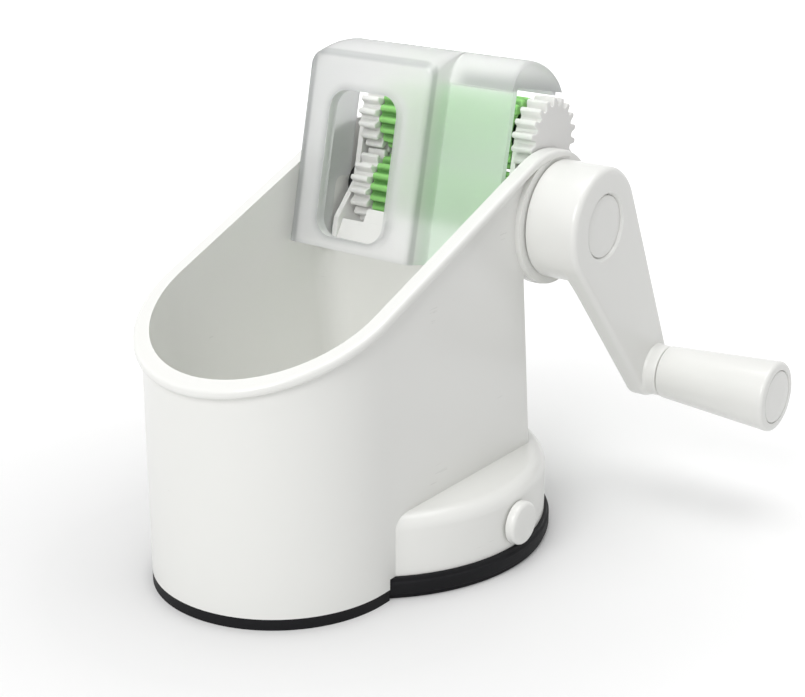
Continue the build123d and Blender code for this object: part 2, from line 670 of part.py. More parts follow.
# ---- hood ------------------------------------------------------------------------------
def panel_side(inset):
    """Side outline of the hood: front panel, curved roof and open back."""
    reach = HOOD_OPEN if inset else 0
    front = -(PANEL_V - inset)
    bottom = HOOD_BOTTOM - reach
    crest = (-CREST[0], CREST[1] - inset)
    back = (-ROOF_BACK[0], ROOF_BACK[1] - 1.1 * inset)
    past = (back[0] + max(reach, 0.1), back[1])
    edge = Spline((front, ROOF_EDGE), crest, tangents=[(0, 1), (1, 0)])
    edge += Spline(crest, back, tangents=[(1, 0), (0.62, -1)])
    edge += Polyline(back, past, (past[0], bottom), (front, bottom), (front, ROOF_EDGE))
    return make_face(edge)


def box_side(inset):
    """Side outline of the raised feed box, from its front to the roof's crest."""
    front = -(BOX_V - inset)
    bottom = HOOD_BOTTOM - (HOOD_OPEN if inset else 0)
    crest = (-CREST[0], CREST[1] - inset)
    low = (front, BOX_TOP - BOX_ROUND)
    high = (front + BOX_ROUND - inset / 2, BOX_TOP - inset)
    between = (front + 0.3 * BOX_ROUND, BOX_TOP - inset - 0.3 * (BOX_ROUND - inset / 2))
    edge = ThreePointArc(low, between, high)
    edge += Spline(high, crest, tangents=[(1, 0.3), (1, 0)])
    edge += Polyline(crest, (crest[0], bottom), (front, bottom), low)
    return make_face(edge)


def box_form(inset):
    """Feed box with rounded front corners, shrunk by an inset."""
    x0, x1 = HOOD_X[0] + inset, BOX_X1 - inset
    depth = 2 * (BOX_V - inset)
    plan = Pos((x0 + x1) / 2, 0) * RectangleRounded(x1 - x0, depth, BOX_ROUND - inset / 2)
    upright = extrude(Pos(0, 0, -FAR) * plan, 2 * FAR)
    return prism_x(box_side(inset), x0, x1) & upright


def window_face(grow):
    """Rounded window outline on the front of the feed box."""
    width = WINDOW_X[1] - WINDOW_X[0] + 2 * grow
    height = WINDOW_U[1] - WINDOW_U[0] + 2 * grow
    middle = ((WINDOW_X[0] + WINDOW_X[1]) / 2, (WINDOW_U[0] + WINDOW_U[1]) / 2)
    return Pos(*middle) * RectangleRounded(width, height, WINDOW_ROUND + grow)


def window_block(grow, v0, v1):
    """The window outline made solid between two depths."""
    face = Plane.XZ.offset(v0) * window_face(grow)
    return extrude(face, v1 - v0)


def wall_notch(v0, v1, top):
    """A notch in the hood's left wall, open at the bottom."""
    x0 = HOOD_X[0] - 1
    return block(x0, LEFT_PLATE_X[1], -v1, -v0, -FAR, top)


def hood():
    """Frosted clear hood with a raised feed box on its left."""
    x0, x1 = HOOD_X
    shell = prism_x(panel_side(0), x0, x1) + box_form(0)
    inner = panel_side(HOOD_T)
    shell -= prism_x(inner, x0 + HOOD_T, x1 - HOOD_T)
    # the right side is open below the roof
    below = block(x0 + HOOD_T, x1 + 1, -FAR, FAR, -FAR, ROOF_EDGE + 1.2)
    shell -= prism_x(inner, x0 + HOOD_T, x1 + 1) & below
    shell -= box_form(HOOD_T)
    # the left wall is notched for the bearing plate, the roof for the gears
    shell -= wall_notch(*PLATE_NOTCH)
    shell -= wall_notch(*SHAFT_NOTCH)
    shell -= rod_x(0, CENTRES, GEAR_TIP_R + 0.6, LEFT_GEAR_X[0] - 0.6, RIGHT_GEAR_X[1] + 0.6)
    back = BOX_V - HOOD_T
    lip = window_block(LIP_W, back - LIP_T, back + 1) - window_block(0, back - LIP_T - 1, BOX_V)
    shell -= window_block(0, back - LIP_T - 1, BOX_V + 1)
    return TILTED * (shell + lip)


MESH = 90 - TILT         # direction from the lower axis to the upper one
HALF_PITCH = 180 / GEAR_TEETH

NODES = {
    "body_shell": body_shell,
    "front_foot": front_foot,
    "foot_screws": foot_screws,
    "guide_plate": guide_plate,
    "plate_screws": plate_screws,
    "suction_cup": suction_cup,
    "cup_stem": cup_stem,
    "cup_insert": cup_insert,
    "cam_shaft": cam_shaft,
    "suction_lever": suction_lever,
    "lever_screw": lever_screw,
    "lever_cap": lever_cap,
    "left_bearing_plate": lambda: bearing_plate(*LEFT_PLATE_X),
    "right_bearing_plate": lambda: bearing_plate(*RIGHT_PLATE_X),
    "stripper_bar": stripper_bar,
    "frame_screws": frame_screws,
    "right_wall_bush": right_wall_bush,
    "left_wall_bush": left_wall_bush,
    "axle_cap": axle_cap,
    "upper_left_bush": lambda: upper_bush(LEFT_PLATE_X[0] - 0.5, LEFT_PLATE_X[1] + 0.3),
    "upper_right_bush": lambda: upper_bush(RIGHT_PLATE_X[0] - 0.1, RIGHT_PLATE_X[1] + 0.3),
    "lower_shaft": lower_shaft,
    "lower_roller": lambda: roller(LOWER, MESH),
    "lower_left_gear": lambda: gear(LEFT_GEAR_X, LOWER, MESH, False),
    "lower_right_gear": lambda: gear(RIGHT_GEAR_X, LOWER, MESH, False),
    "thrust_washer": thrust_washer,
    "upper_shaft": lambda: shaft(UPPER, LEFT_PLATE_X[0] - 0.4, RIGHT_GEAR_X[1] - BLIND_T - 0.1),
    "upper_roller": lambda: roller(UPPER, MESH + HALF_PITCH),
    "upper_left_gear": lambda: gear(LEFT_GEAR_X, UPPER, MESH + HALF_PITCH, False),
    "upper_right_gear": lambda: gear(RIGHT_GEAR_X, UPPER, MESH + HALF_PITCH, True),
    "crank_arm": crank_arm,
    "hub_cap": hub_cap,
    "crank_screw": crank_screw,
    "grip_pin": grip_pin,
    "grip": grip,
    "grip_cap": grip_cap,
    "hood": hood,
}

os.makedirs("parts", exist_ok=True)
for name, make in NODES.items():
    export_step(make(), f"parts/{name}.step")
    print(name)
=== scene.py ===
"""Looks of a hand-cranked pea sheller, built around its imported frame.

Shapes are worked out in millimetres and become metres when a mesh is made.
The frame of the part has +Z up, the low front lip towards -Y and the crank
towards +X, with its origin on the table, at the centre of the rounded front.
The hood and the upper rollers lean back, so they are laid out in a tilted
frame with X as before, V forwards and U upwards from the crank's axis.
"""

from __future__ import annotations

import json
import logging
import math
from collections.abc import Callable, Iterable, Sequence
from dataclasses import dataclass, field
from enum import Enum

import bmesh
import bpy
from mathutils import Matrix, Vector

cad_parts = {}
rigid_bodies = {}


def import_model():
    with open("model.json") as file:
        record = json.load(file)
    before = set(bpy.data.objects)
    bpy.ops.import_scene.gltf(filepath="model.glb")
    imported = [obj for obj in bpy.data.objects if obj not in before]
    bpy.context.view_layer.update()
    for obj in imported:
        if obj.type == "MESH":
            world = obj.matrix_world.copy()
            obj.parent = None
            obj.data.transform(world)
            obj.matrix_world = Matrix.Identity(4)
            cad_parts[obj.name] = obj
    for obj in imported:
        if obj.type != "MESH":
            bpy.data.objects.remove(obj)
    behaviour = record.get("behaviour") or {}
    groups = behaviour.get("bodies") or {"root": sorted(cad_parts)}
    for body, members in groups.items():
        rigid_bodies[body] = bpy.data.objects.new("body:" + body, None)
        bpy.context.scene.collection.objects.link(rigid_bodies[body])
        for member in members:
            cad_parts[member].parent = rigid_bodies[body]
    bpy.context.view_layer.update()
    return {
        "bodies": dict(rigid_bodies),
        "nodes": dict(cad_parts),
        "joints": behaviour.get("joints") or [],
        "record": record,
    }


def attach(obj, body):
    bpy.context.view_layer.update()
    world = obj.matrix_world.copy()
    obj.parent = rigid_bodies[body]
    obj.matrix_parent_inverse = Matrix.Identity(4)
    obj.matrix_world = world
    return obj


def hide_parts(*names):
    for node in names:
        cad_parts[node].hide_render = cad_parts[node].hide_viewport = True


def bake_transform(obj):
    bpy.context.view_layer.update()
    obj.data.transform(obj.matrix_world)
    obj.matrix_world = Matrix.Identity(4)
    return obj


LOG = logging.getLogger("pea_sheller")
MM = 0.001
X_AXIS = Vector((1, 0, 0))

Colour = tuple[float, float, float]
Place = tuple[float, float, float]
Flat = tuple[float, float]
Loop = list[Vector]
Span = tuple[Vector, float, float]   # a direction with the start and end of a fade along it


class Slot(Enum):
    """Material slots of the record."""

    WHITE_GLOSS = "white_gloss"
    WHITE_MATTE = "white_matte"
    BLACK_RUBBER = "black_rubber"
    BLACK_PLASTIC = "black_plastic"
    GREEN_ROLLER = "green_roller"
    STEEL = "steel"
    FROSTED_CLEAR = "frosted_clear"


class Ends(Enum):
    """How the two ends of a lofted mesh are finished."""

    CAPPED = "capped"
    JOINED = "joined"


class Spin(Enum):
    """Direction of the axis that a turned piece goes round."""

    ALONG_X = "x"
    ALONG_Z = "z"


# ---- layout -----------------------------------------------------------------
@dataclass(frozen=True)
class Layout:
    """Axes of the moving pieces, read from the frame's joints, in millimetres."""

    crank: Vector
    upper: Vector
    grip: Vector
    lever: Vector

    @classmethod
    def read(cls, joints: list[dict]) -> Layout:
        """Take the axes from the frame.

        Args:
            joints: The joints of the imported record.

        Returns:
            The layout.
        """
        places = {joint["name"]: joint.get("pos_m") for joint in joints}
        names = ("crank_turn", "upper_roller_turn", "grip_spin", "suction_lever_turn")
        return cls(*(Vector(places[name]) / MM for name in names))

    @property
    def up(self) -> Vector:
        """Upward direction of the tilted frame."""
        return (self.upper - self.crank).normalized()

    @property
    def ahead(self) -> Vector:
        """Forward direction of the tilted frame."""
        return X_AXIS.cross(self.up)

    @property
    def mesh_angle(self) -> float:
        """Angle from +Y of the line that joins the two roller axes."""
        return math.atan2(self.up.z, self.up.y)

    def tilted(self, x: float, v: float, u: float) -> Vector:
        """Place a point of the tilted frame.

        Args:
            x: Distance along the crank's axis.
            v: Distance forwards.
            u: Distance upwards.

        Returns:
            The point in the part's frame.
        """
        return Vector((x, self.crank.y, self.crank.z)) + self.ahead * v + self.up * u


@dataclass(frozen=True)
class HoodShape:
    """Main sizes of the hood in the tilted frame, which its finish follows too."""

    left: float = -35.2
    right: float = 34.6
    box_right: float = 11.9
    box_v: float = 35.6
    box_top: float = 41.6
    panel_v: float = 25.5
    roof_edge: float = 36.4


# ---- outlines ---------------------------------------------------------------
def soften(corners: Sequence[tuple[float, float, float]], closed: bool = False,
           steps: int = 6) -> list[Flat]:
    """Round the corners of a path.

    Args:
        corners: Corner places, each with its radius.
        closed: Whether the last corner runs on to the first.
        steps: Straight pieces in each rounding.

    Returns:
        The points of the rounded path.
    """
    path: list[Flat] = []
    count = len(corners)
    for i, (a, b, radius) in enumerate(corners):
        if radius <= 0 or (not closed and i in (0, count - 1)):
            path.append((a, b))
            continue
        corner = Vector((a, b))
        before = Vector(corners[i - 1][:2]) - corner
        after = Vector(corners[(i + 1) % count][:2]) - corner
        half = before.angle(after) / 2
        reach = min(radius / math.tan(half), 0.49 * before.length, 0.49 * after.length)
        start = before.normalized() * reach
        end = after.normalized() * reach
        middle = (start + end).normalized() * (reach / math.cos(half))
        length = (start - middle).length
        for k in range(steps + 1):
            spoke = (start - middle).slerp(end - middle, k / steps) * length
            point = corner + middle + spoke
            path.append((point.x, point.y))
    return path


def inset(outline: Sequence[Flat], depth: float | Sequence[float]) -> list[Flat]:
    """Move a closed anticlockwise outline inwards.

    Args:
        outline: Points of the outline.
        depth: Distance inwards, one for all points or one each.

    Returns:
        The moved points.
    """
    count = len(outline)
    depths = [depth] * count if isinstance(depth, (int, float)) else depth
    moved = []
    for i, (a, b) in enumerate(outline):
        before, after = outline[i - 1], outline[(i + 1) % count]
        across = Vector((after[1] - before[1], before[0] - after[0])).normalized()
        moved.append((a - across.x * depths[i], b - across.y * depths[i]))
    return moved


def quarter(radius: float, steps: int) -> list[Flat]:
    """Insets and depths along a rounded edge, from its face to its side."""
    turns = [math.pi / 2 * k / steps for k in range(steps + 1)]
    return [(radius * (1 - math.sin(t)), radius * (1 - math.cos(t))) for t in turns]


def rounded_slab(section: Callable[[float, float], Loop], span: Flat, rounds: Flat,
                 steps: tuple[int, int]) -> list[Loop]:
    """Loops of a slab whose two end faces have rounded edges.

    Args:
        section: Gives the loop at a place, drawn in by a distance.
        span: Places of the two end faces.
        rounds: Radius of the edges at each end.
        steps: Straight pieces in each rounding.

    Returns:
        The loops, in order.
    """
    loops = [section(span[0] + depth, sunk) for sunk, depth in quarter(rounds[0], steps[0])]
    loops += [section(span[1] - depth, sunk)
              for sunk, depth in reversed(quarter(rounds[1], steps[1]))]
    return loops


def round_inset(radius: float, distance: float) -> float:
    """How far a rounded edge draws in at a distance from its end face."""
    if distance >= radius:
        return 0.0
    return radius - math.sqrt(radius ** 2 - (radius - distance) ** 2)


def spread(start: float, stop: float, count: int) -> list[float]:
    """Evenly spaced values from start to stop, both included."""
    return [start + (stop - start) * i / (count - 1) for i in range(count)]


# ---- mesh making ------------------------------------------------------------
@dataclass
class MeshMaker:
    """Gathers loops of points and skins them into one named mesh object."""

    name: str
    points: list[Vector] = field(default_factory=list)
    faces: list[tuple[int, ...]] = field(default_factory=list)

    def skin(self, first: range, second: range) -> None:
        """Join two loops of equal length by four-sided faces."""
        count = len(first)
        for i in range(count):
            j = (i + 1) % count
            self.faces.append((first[i], first[j], second[j], second[i]))

    def loft(self, loops: Iterable[Loop], ends: Ends = Ends.CAPPED) -> MeshMaker:
        """Skin a row of loops.

        Args:
            loops: The loops, in order.
            ends: Whether the ends are capped or joined to each other.

        Returns:
            This maker, for a further call.
        """
        rings = []
        for loop in loops:
            start = len(self.points)
            self.points.extend(loop)
            rings.append(range(start, len(self.points)))
        for first, second in zip(rings, rings[1:]):
            self.skin(first, second)
        if ends is Ends.JOINED:
            self.skin(rings[-1], rings[0])
        else:
            self.faces.append(tuple(rings[0]))
            self.faces.append(tuple(rings[-1]))
        return self

    def make(self, sharp: float = 35.0) -> bpy.types.Object:
        """Turn the gathered shape into an object.

        Args:
            sharp: Angle in degrees past which an edge stays sharp.

        Returns:
            The object, in metres.
        """
        mesh = bpy.data.meshes.new(self.name)
        mesh.from_pydata([point * MM for point in self.points], [], self.faces)
        piece = bpy.data.objects.new(self.name, mesh)
        bpy.context.scene.collection.objects.link(piece)
        tidy_mesh(piece, sharp)
        return piece


def tidy_mesh(piece: bpy.types.Object, sharp: float) -> None:
    """Merge doubled points, turn faces outwards and set the shading.

    Args:
        piece: The object whose mesh is tidied.
        sharp: Angle in degrees past which an edge stays sharp.
    """
    shaped = bmesh.new()
    shaped.from_mesh(piece.data)
    bmesh.ops.remove_doubles(shaped, verts=shaped.verts, dist=0.002 * MM)
    bmesh.ops.dissolve_degenerate(shaped, edges=shaped.edges, dist=0.001 * MM)
    bmesh.ops.recalc_face_normals(shaped, faces=shaped.faces)
    shaped.to_mesh(piece.data)
    shaped.free()
    piece.data.shade_smooth()
    piece.data.set_sharp_from_angle(angle=math.radians(sharp))


def bake_modifiers(piece: bpy.types.Object) -> None:
    """Replace an object's mesh by the one its modifiers give."""
    graph = bpy.context.evaluated_depsgraph_get()
    shaped = bpy.data.meshes.new_from_object(piece.evaluated_get(graph))
    piece.modifiers.clear()
    piece.data = shaped


def carve(piece: bpy.types.Object, cutters: Iterable[bpy.types.Object]) -> bpy.types.Object:
    """Cut other objects out of a piece and remove them.

    Args:
        piece: The object that stays.
        cutters: Closed objects whose volume is taken away.

    Returns:
        The carved piece.
    """
    for cutter in cutters:
        cut = piece.modifiers.new("cut", "BOOLEAN")
        cut.operation = "DIFFERENCE"
        cut.solver = "EXACT"
        cut.object = cutter
        bpy.context.view_layer.update()
        bake_modifiers(piece)
        bpy.data.objects.remove(cutter)
    return piece


def bevel(piece: bpy.types.Object, width: float, segments: int, angle: float) -> None:
    """Round the sharp edges of a piece.

    Args:
        piece: The object.
        width: Width of the rounding, in millimetres.
        segments: Number of faces across it.
        angle: Edges sharper than this, in degrees, are rounded.
    """
    rounding = piece.modifiers.new("rounding", "BEVEL")
    rounding.width = width * MM
    rounding.segments = segments
    rounding.limit_method = "ANGLE"
    rounding.angle_limit = math.radians(angle)
    bake_modifiers(piece)


def circle_x(axis: Vector, x: float, radius: float, count: int = 96,
             start: float = 0.0) -> Loop:
    """A loop of points round an axis along X, from a starting angle."""
    turns = [start + 2 * math.pi * k / count for k in range(count)]
    return [Vector((x, axis.y + radius * math.cos(t), axis.z + radius * math.sin(t)))
            for t in turns]


def circle_z(axis: Vector, z: float, radius: float, count: int = 96) -> Loop:
    """A loop of points round an upright axis."""
    turns = [2 * math.pi * k / count for k in range(count)]
    return [Vector((axis.x + radius * math.cos(t), axis.y + radius * math.sin(t), z))
            for t in turns]


def turned(name: str, axis: Vector, spin: Spin, path: Sequence[Flat],
           ends: Ends = Ends.CAPPED, count: int = 96) -> MeshMaker:
    """Turn a path round an axis.

    Args:
        name: Name of the piece.
        axis: A point on the axis.
        spin: Direction of the axis.
        path: Places along the axis, each with its radius.
        ends: How the ends are finished.
        count: Points round the axis.

    Returns:
        The shape, ready to be made.
    """
    circle = circle_x if spin is Spin.ALONG_X else circle_z
    loops = [circle(axis, along, radius, count) for along, radius in path]
    return MeshMaker(name).loft(loops, ends)


# ---- shader helpers ---------------------------------------------------------
MIX_MASK, MIX_FIRST, MIX_SECOND, MIX_RESULT = 0, 6, 7, 2   # sockets of a Mix node for colours


def socket_value(value: float | Colour | Vector) -> object:
    """A value as a socket takes it, so a colour gets full opacity."""
    return (*value, 1.0) if isinstance(value, tuple) else value


@dataclass
class ShaderGraph:
    """A node tree with short calls for adding and joining nodes."""

    tree: bpy.types.NodeTree

    def add(self, kind: str, **settings: object) -> bpy.types.Node:
        """Add a node and set its properties and input values.

        Args:
            kind: Blender's name of the node type.
            settings: Properties by name, or input sockets by name.

        Returns:
            The new node.
        """
        node = self.tree.nodes.new(kind)
        for key, value in settings.items():
            if hasattr(node, key):
                setattr(node, key, value)
            else:
                node.inputs[key.replace("_", " ")].default_value = value
        return node

    def join(self, source: bpy.types.NodeSocket, target: bpy.types.NodeSocket) -> None:
        """Link an output socket to an input socket."""
        self.tree.links.new(source, target)

    def math(self, operation: str, first: bpy.types.NodeSocket | float,
             second: bpy.types.NodeSocket | float) -> bpy.types.NodeSocket:
        """Add a math node.

        Args:
            operation: Name of the operation.
            first: First value or socket.
            second: Second value or socket.

        Returns:
            The result socket.
        """
        node = self.add("ShaderNodeMath", operation=operation)
        for socket, value in zip(node.inputs, (first, second)):
            if isinstance(value, (int, float)):
                socket.default_value = value
            else:
                self.join(value, socket)
        return node.outputs[0]

    def mix(self, mask: bpy.types.NodeSocket, first: bpy.types.NodeSocket,
            second: bpy.types.NodeSocket | Colour) -> bpy.types.NodeSocket:
        """Add a node that blends two colours.

        Args:
            mask: Share of the second colour.
            first: First colour.
            second: Second colour or its socket.

        Returns:
            The result socket.
        """
        blend = self.add("ShaderNodeMix", data_type="RGBA")
        self.join(mask, blend.inputs[MIX_MASK])
        self.join(first, blend.inputs[MIX_FIRST])
        if isinstance(second, tuple):
            blend.inputs[MIX_SECOND].default_value = socket_value(second)
        else:
            self.join(second, blend.inputs[MIX_SECOND])
        return blend.outputs[MIX_RESULT]

    def place(self) -> bpy.types.NodeSocket:
        """Add the coordinates of the surface in the part's frame."""
        return self.add("ShaderNodeTexCoord").outputs["Object"]

    def stretch(self, **settings: Place) -> bpy.types.NodeSocket:
        """Add coordinates that are scaled or turned by a mapping."""
        mapping = self.add("ShaderNodeMapping", **settings)
        self.join(self.place(), mapping.inputs["Vector"])
        return mapping.outputs["Vector"]

    def noise(self, place: bpy.types.NodeSocket, **settings: float) -> bpy.types.Node:
        """Add a noise texture that is read at a place."""
        node = self.add("ShaderNodeTexNoise", **settings)
        self.join(place, node.inputs["Vector"])
        return node


@dataclass
class Effect:
    """A shader node group with named inputs and one output, shared by materials."""

    name: str
    inputs: dict[str, float | Colour | Vector]
    output: str
    output_kind: str = "NodeSocketFloat"

    def open(self) -> tuple[ShaderGraph, bpy.types.Node, bpy.types.Node]:
        """Make the group with its sockets.

        Returns:
            The graph inside, its input node and its output node.
        """
        tree = bpy.data.node_groups.new(self.name, "ShaderNodeTree")
        kinds = {tuple: "NodeSocketColor", Vector: "NodeSocketVector", float: "NodeSocketFloat"}
        for name, value in self.inputs.items():
            socket = tree.interface.new_socket(name, in_out="INPUT",
                                               socket_type=kinds[type(value)])
            socket.default_value = socket_value(value)
        tree.interface.new_socket(self.output, in_out="OUTPUT", socket_type=self.output_kind)
        graph = ShaderGraph(tree)
        return graph, graph.add("NodeGroupInput"), graph.add("NodeGroupOutput")


def mould_grain() -> bpy.types.NodeTree:
    """Group that gives the height of a moulded grain."""
    effect = Effect("mould_grain", {"Scale": 900.0, "Waviness": 0.3}, "Height")
    graph, given, result = effect.open()
    place = graph.place()
    fine = graph.noise(place, Detail=3.0, Roughness=0.6)
    broad = graph.noise(place, Scale=45.0, Detail=1.0)
    graph.join(given.outputs["Scale"], fine.inputs["Scale"])
    waves = graph.math("MULTIPLY", broad.outputs[0], given.outputs["Waviness"])
    graph.join(graph.math("ADD", fine.outputs[0], waves), result.inputs["Height"])
    return graph.tree


def handling() -> bpy.types.NodeTree:
    """Group that varies a roughness by smears and fine scratches."""
    effect = Effect("handling", {"Roughness": 0.4, "Spread": 0.1, "Scale": 40.0}, "Roughness")
    graph, given, result = effect.open()
    smear = graph.noise(graph.place(), Detail=4.0, Roughness=0.55)
    graph.join(given.outputs["Scale"], smear.inputs["Scale"])
    lines = graph.stretch(Scale=(90.0, 90.0, 1400.0), Rotation=(0.4, 0.3, 0.5))
    scratch = graph.noise(lines, Scale=1.0, Detail=2.0)
    scratch_share = 0.5
    average = 0.5 + 0.5 * scratch_share
    scratches = graph.math("MULTIPLY", scratch.outputs[0], scratch_share)
    both = graph.math("ADD", smear.outputs[0], scratches)
    centred = graph.math("SUBTRACT", both, average)
    drift = graph.math("MULTIPLY", centred, given.outputs["Spread"])
    graph.join(graph.math("ADD", given.outputs["Roughness"], drift), result.inputs["Roughness"])
    return graph.tree


def tone_drift() -> bpy.types.NodeTree:
    """Group that drifts a colour towards a second one in soft clouds."""
    effect = Effect("tone_drift", {"Colour": (0.8, 0.8, 0.8), "Shade": (0.7, 0.7, 0.7),
                                   "Amount": 0.2, "Scale": 18.0}, "Colour", "NodeSocketColor")
    graph, given, result = effect.open()
    cloud = graph.noise(graph.place(), Detail=5.0, Roughness=0.5)
    graph.join(given.outputs["Scale"], cloud.inputs["Scale"])
    mask = graph.math("MULTIPLY", cloud.outputs[0], given.outputs["Amount"])
    drifted = graph.mix(mask, given.outputs["Colour"], given.outputs["Shade"])
    graph.join(drifted, result.inputs["Colour"])
    return graph.tree


def edge_tone() -> bpy.types.NodeTree:
    """Group that shifts a colour along outer edges and in tight corners, where the corner colour is
    a painted shade.
    """
    effect = Effect("edge_tone", {"Colour": (0.8, 0.8, 0.8), "Edge": (0.9, 0.9, 0.9),
                                  "Corner": (0.5, 0.5, 0.5), "Amount": 0.3,
                                  "Edge width": 1.0, "Corner width": 2.0}, "Colour",
                    "NodeSocketColor")
    graph, given, result = effect.open()
    source = given.outputs["Colour"]
    # Edge colour is edge wear on the solid plastics and painted shade on the frosted hood; Corner
    # colour is painted shade where occlusion is high
    for name, inside in (("Edge", True), ("Corner", False)):
        cover = graph.add("ShaderNodeAmbientOcclusion", inside=inside, only_local=True, samples=6)
        width = graph.math("MULTIPLY", given.outputs[f"{name} width"], MM)
        graph.join(width, cover.inputs["Distance"])
        covered = graph.math("SUBTRACT", 1.0, cover.outputs["AO"])
        strength = graph.math("MULTIPLY", given.outputs["Amount"], 2.0)
        mask = graph.math("MINIMUM", graph.math("MULTIPLY", covered, strength), 1.0)
        source = graph.mix(mask, source, given.outputs[name])
    graph.join(source, result.inputs["Colour"])
    return graph.tree


def span_mask() -> bpy.types.NodeTree:
    """Group that fades from 0 to 1 between two distances along a direction."""
    effect = Effect("span_mask", {"Direction": Vector((0, 0, 1)), "Start": 0.0, "End": 1.0},
                    "Mask")
    graph, given, result = effect.open()
    along = graph.add("ShaderNodeVectorMath", operation="DOT_PRODUCT")
    graph.join(graph.place(), along.inputs[0])
    graph.join(given.outputs["Direction"], along.inputs[1])
    fade = graph.add("ShaderNodeMapRange", interpolation_type="SMOOTHSTEP")
    graph.join(graph.math("DIVIDE", along.outputs["Value"], MM), fade.inputs["Value"])
    graph.join(given.outputs["Start"], fade.inputs["From Min"])
    graph.join(given.outputs["End"], fade.inputs["From Max"])
    graph.join(fade.outputs[0], result.inputs["Mask"])
    return graph.tree


@dataclass(frozen=True)
class Effects:
    """The node groups that the finishes share."""

    grain: bpy.types.NodeTree
    handling: bpy.types.NodeTree
    drift: bpy.types.NodeTree
    edges: bpy.types.NodeTree
    span: bpy.types.NodeTree

    @classmethod
    def build(cls) -> Effects:
        """Build each group once."""
        return cls(mould_grain(), handling(), tone_drift(), edge_tone(), span_mask())


@dataclass
class Coat:
    """One material under construction, with its Principled shader."""

    name: str
    effects: Effects
    material: bpy.types.Material = field(init=False)
    graph: ShaderGraph = field(init=False)
    shader: bpy.types.Node = field(init=False)

    def __post_init__(self) -> None:
        """Make the empty material."""
        self.material = bpy.data.materials.new(self.name)
        self.material.use_nodes = True
        self.graph = ShaderGraph(self.material.node_tree)
        self.shader = self.material.node_tree.nodes["Principled BSDF"]

    def set(self, **values: float) -> None:
        """Set plain values on the shader's sockets, by socket name."""
        for key, value in values.items():
            self.shader.inputs[key.replace("_", " ")].default_value = value

    def effect(self, tree: bpy.types.NodeTree,
               **values: float | Colour | Vector) -> bpy.types.Node:
        """Place a shared node group.

        Args:
            tree: The group.
            values: Input values by socket name, with colours as tuples.

        Returns:
            The group node.
        """
        node = self.graph.add("ShaderNodeGroup", node_tree=tree)
        for key, value in values.items():
            node.inputs[key.replace("_", " ")].default_value = socket_value(value)
        return node

    def paint(self, colour: Colour, shade: Colour, edge: Colour, corner: Colour,
              drift: float, wear_and_shade: float, edge_width: float = 1.0,
              corner_width: float = 2.0) -> bpy.types.NodeSocket:
        """Colour the surface, with soft clouds, toned edges and painted shade in tight corners.

        Args:
            colour: Main colour.
            shade: Colour of the clouds.
            edge: Colour along outer edges.
            corner: Colour in tight corners, a painted shade.
            drift: Strength of the clouds.
            wear_and_shade: Strength of the edge tones and of the painted shade in corners.
            edge_width: How far the edge tone reaches, in millimetres.
            corner_width: How far the corner tone reaches, in millimetres.

        Returns:
            The colour's socket.
        """
        cloud = self.effect(self.effects.drift, Colour=colour, Shade=shade, Amount=drift)
        rim = self.effect(self.effects.edges, Edge=edge, Corner=corner, Amount=wear_and_shade,
                          Edge_width=edge_width, Corner_width=corner_width)
        self.graph.join(cloud.outputs["Colour"], rim.inputs["Colour"])
        self.graph.join(rim.outputs["Colour"], self.shader.inputs["Base Color"])
        return rim.outputs["Colour"]

    def tint(self, source: bpy.types.NodeSocket, colour: Colour,
             mask: bpy.types.NodeSocket) -> bpy.types.NodeSocket:
        """Blend a colour over the surface's colour.

        Args:
            source: The colour so far.
            colour: The colour that is blended in.
            mask: Where it is blended in, from 0 to 1.

        Returns:
            The new colour's socket.
        """
        tinted = self.graph.mix(mask, source, colour)
        self.graph.join(tinted, self.shader.inputs["Base Color"])
        return tinted

    def within(self, *spans: Span) -> bpy.types.NodeSocket:
        """Mask of a region, as a product of fades.

        Args:
            spans: A direction with the distances where the fade starts and ends.

        Returns:
            The mask's socket.
        """
        fades = [self.effect(self.effects.span, Direction=way, Start=start, End=end)
                 for way, start, end in spans]
        mask = fades[0].outputs["Mask"]
        for fade in fades[1:]:
            mask = self.graph.math("MULTIPLY", mask, fade.outputs["Mask"])
        return mask

    def rub(self, roughness: float, spread: float, scale: float) -> None:
        """Vary the roughness about a value."""
        worn = self.effect(self.effects.handling, Roughness=roughness, Spread=spread, Scale=scale)
        self.graph.join(worn.outputs["Roughness"], self.shader.inputs["Roughness"])

    def roughen(self, scale: float, waviness: float, distance: float) -> None:
        """Raise a fine grain.

        Args:
            scale: Scale of the grain's noise.
            waviness: Share of broad waves in it.
            distance: Height of the grain, in millimetres.
        """
        grain = self.effect(self.effects.grain, Scale=scale, Waviness=waviness)
        bump = self.graph.add("ShaderNodeBump", Distance=distance * MM, Strength=1.0)
        self.graph.join(grain.outputs["Height"], bump.inputs["Height"])
        self.graph.join(bump.outputs["Normal"], self.shader.inputs["Normal"])


# ---- finishes ---------------------------------------------------------------
@dataclass(frozen=True)
class MouldedPlastic:
    """Solid moulded plastic, from glossy to satin."""

    slot: Slot
    colour: Colour
    shade: Colour
    # colour of the painted shade in tight corners
    corner: Colour
    roughness: float
    spread: float
    grain: float
    coat: float = 0.0
    wear_and_shade: float = 0.25
    clouds: float = 0.35
    smear_scale: float = 55.0
    grain_scale: float = 2600.0

    def build(self, effects: Effects) -> bpy.types.Material:
        """Build the material."""
        coat = Coat(self.slot.value, effects)
        edge = tuple(min(1.0, part * 1.06 + 0.01) for part in self.colour)
        # edges lighten as wear; tight corners take the corner colour as painted shade
        coat.paint(self.colour, self.shade, edge, self.corner, self.clouds, self.wear_and_shade)
        coat.rub(self.roughness, self.spread, self.smear_scale)
        coat.roughen(self.grain_scale, 0.6, self.grain)
        coat.set(Coat_Weight=self.coat, Coat_Roughness=0.12, IOR=1.49)
        return coat.material


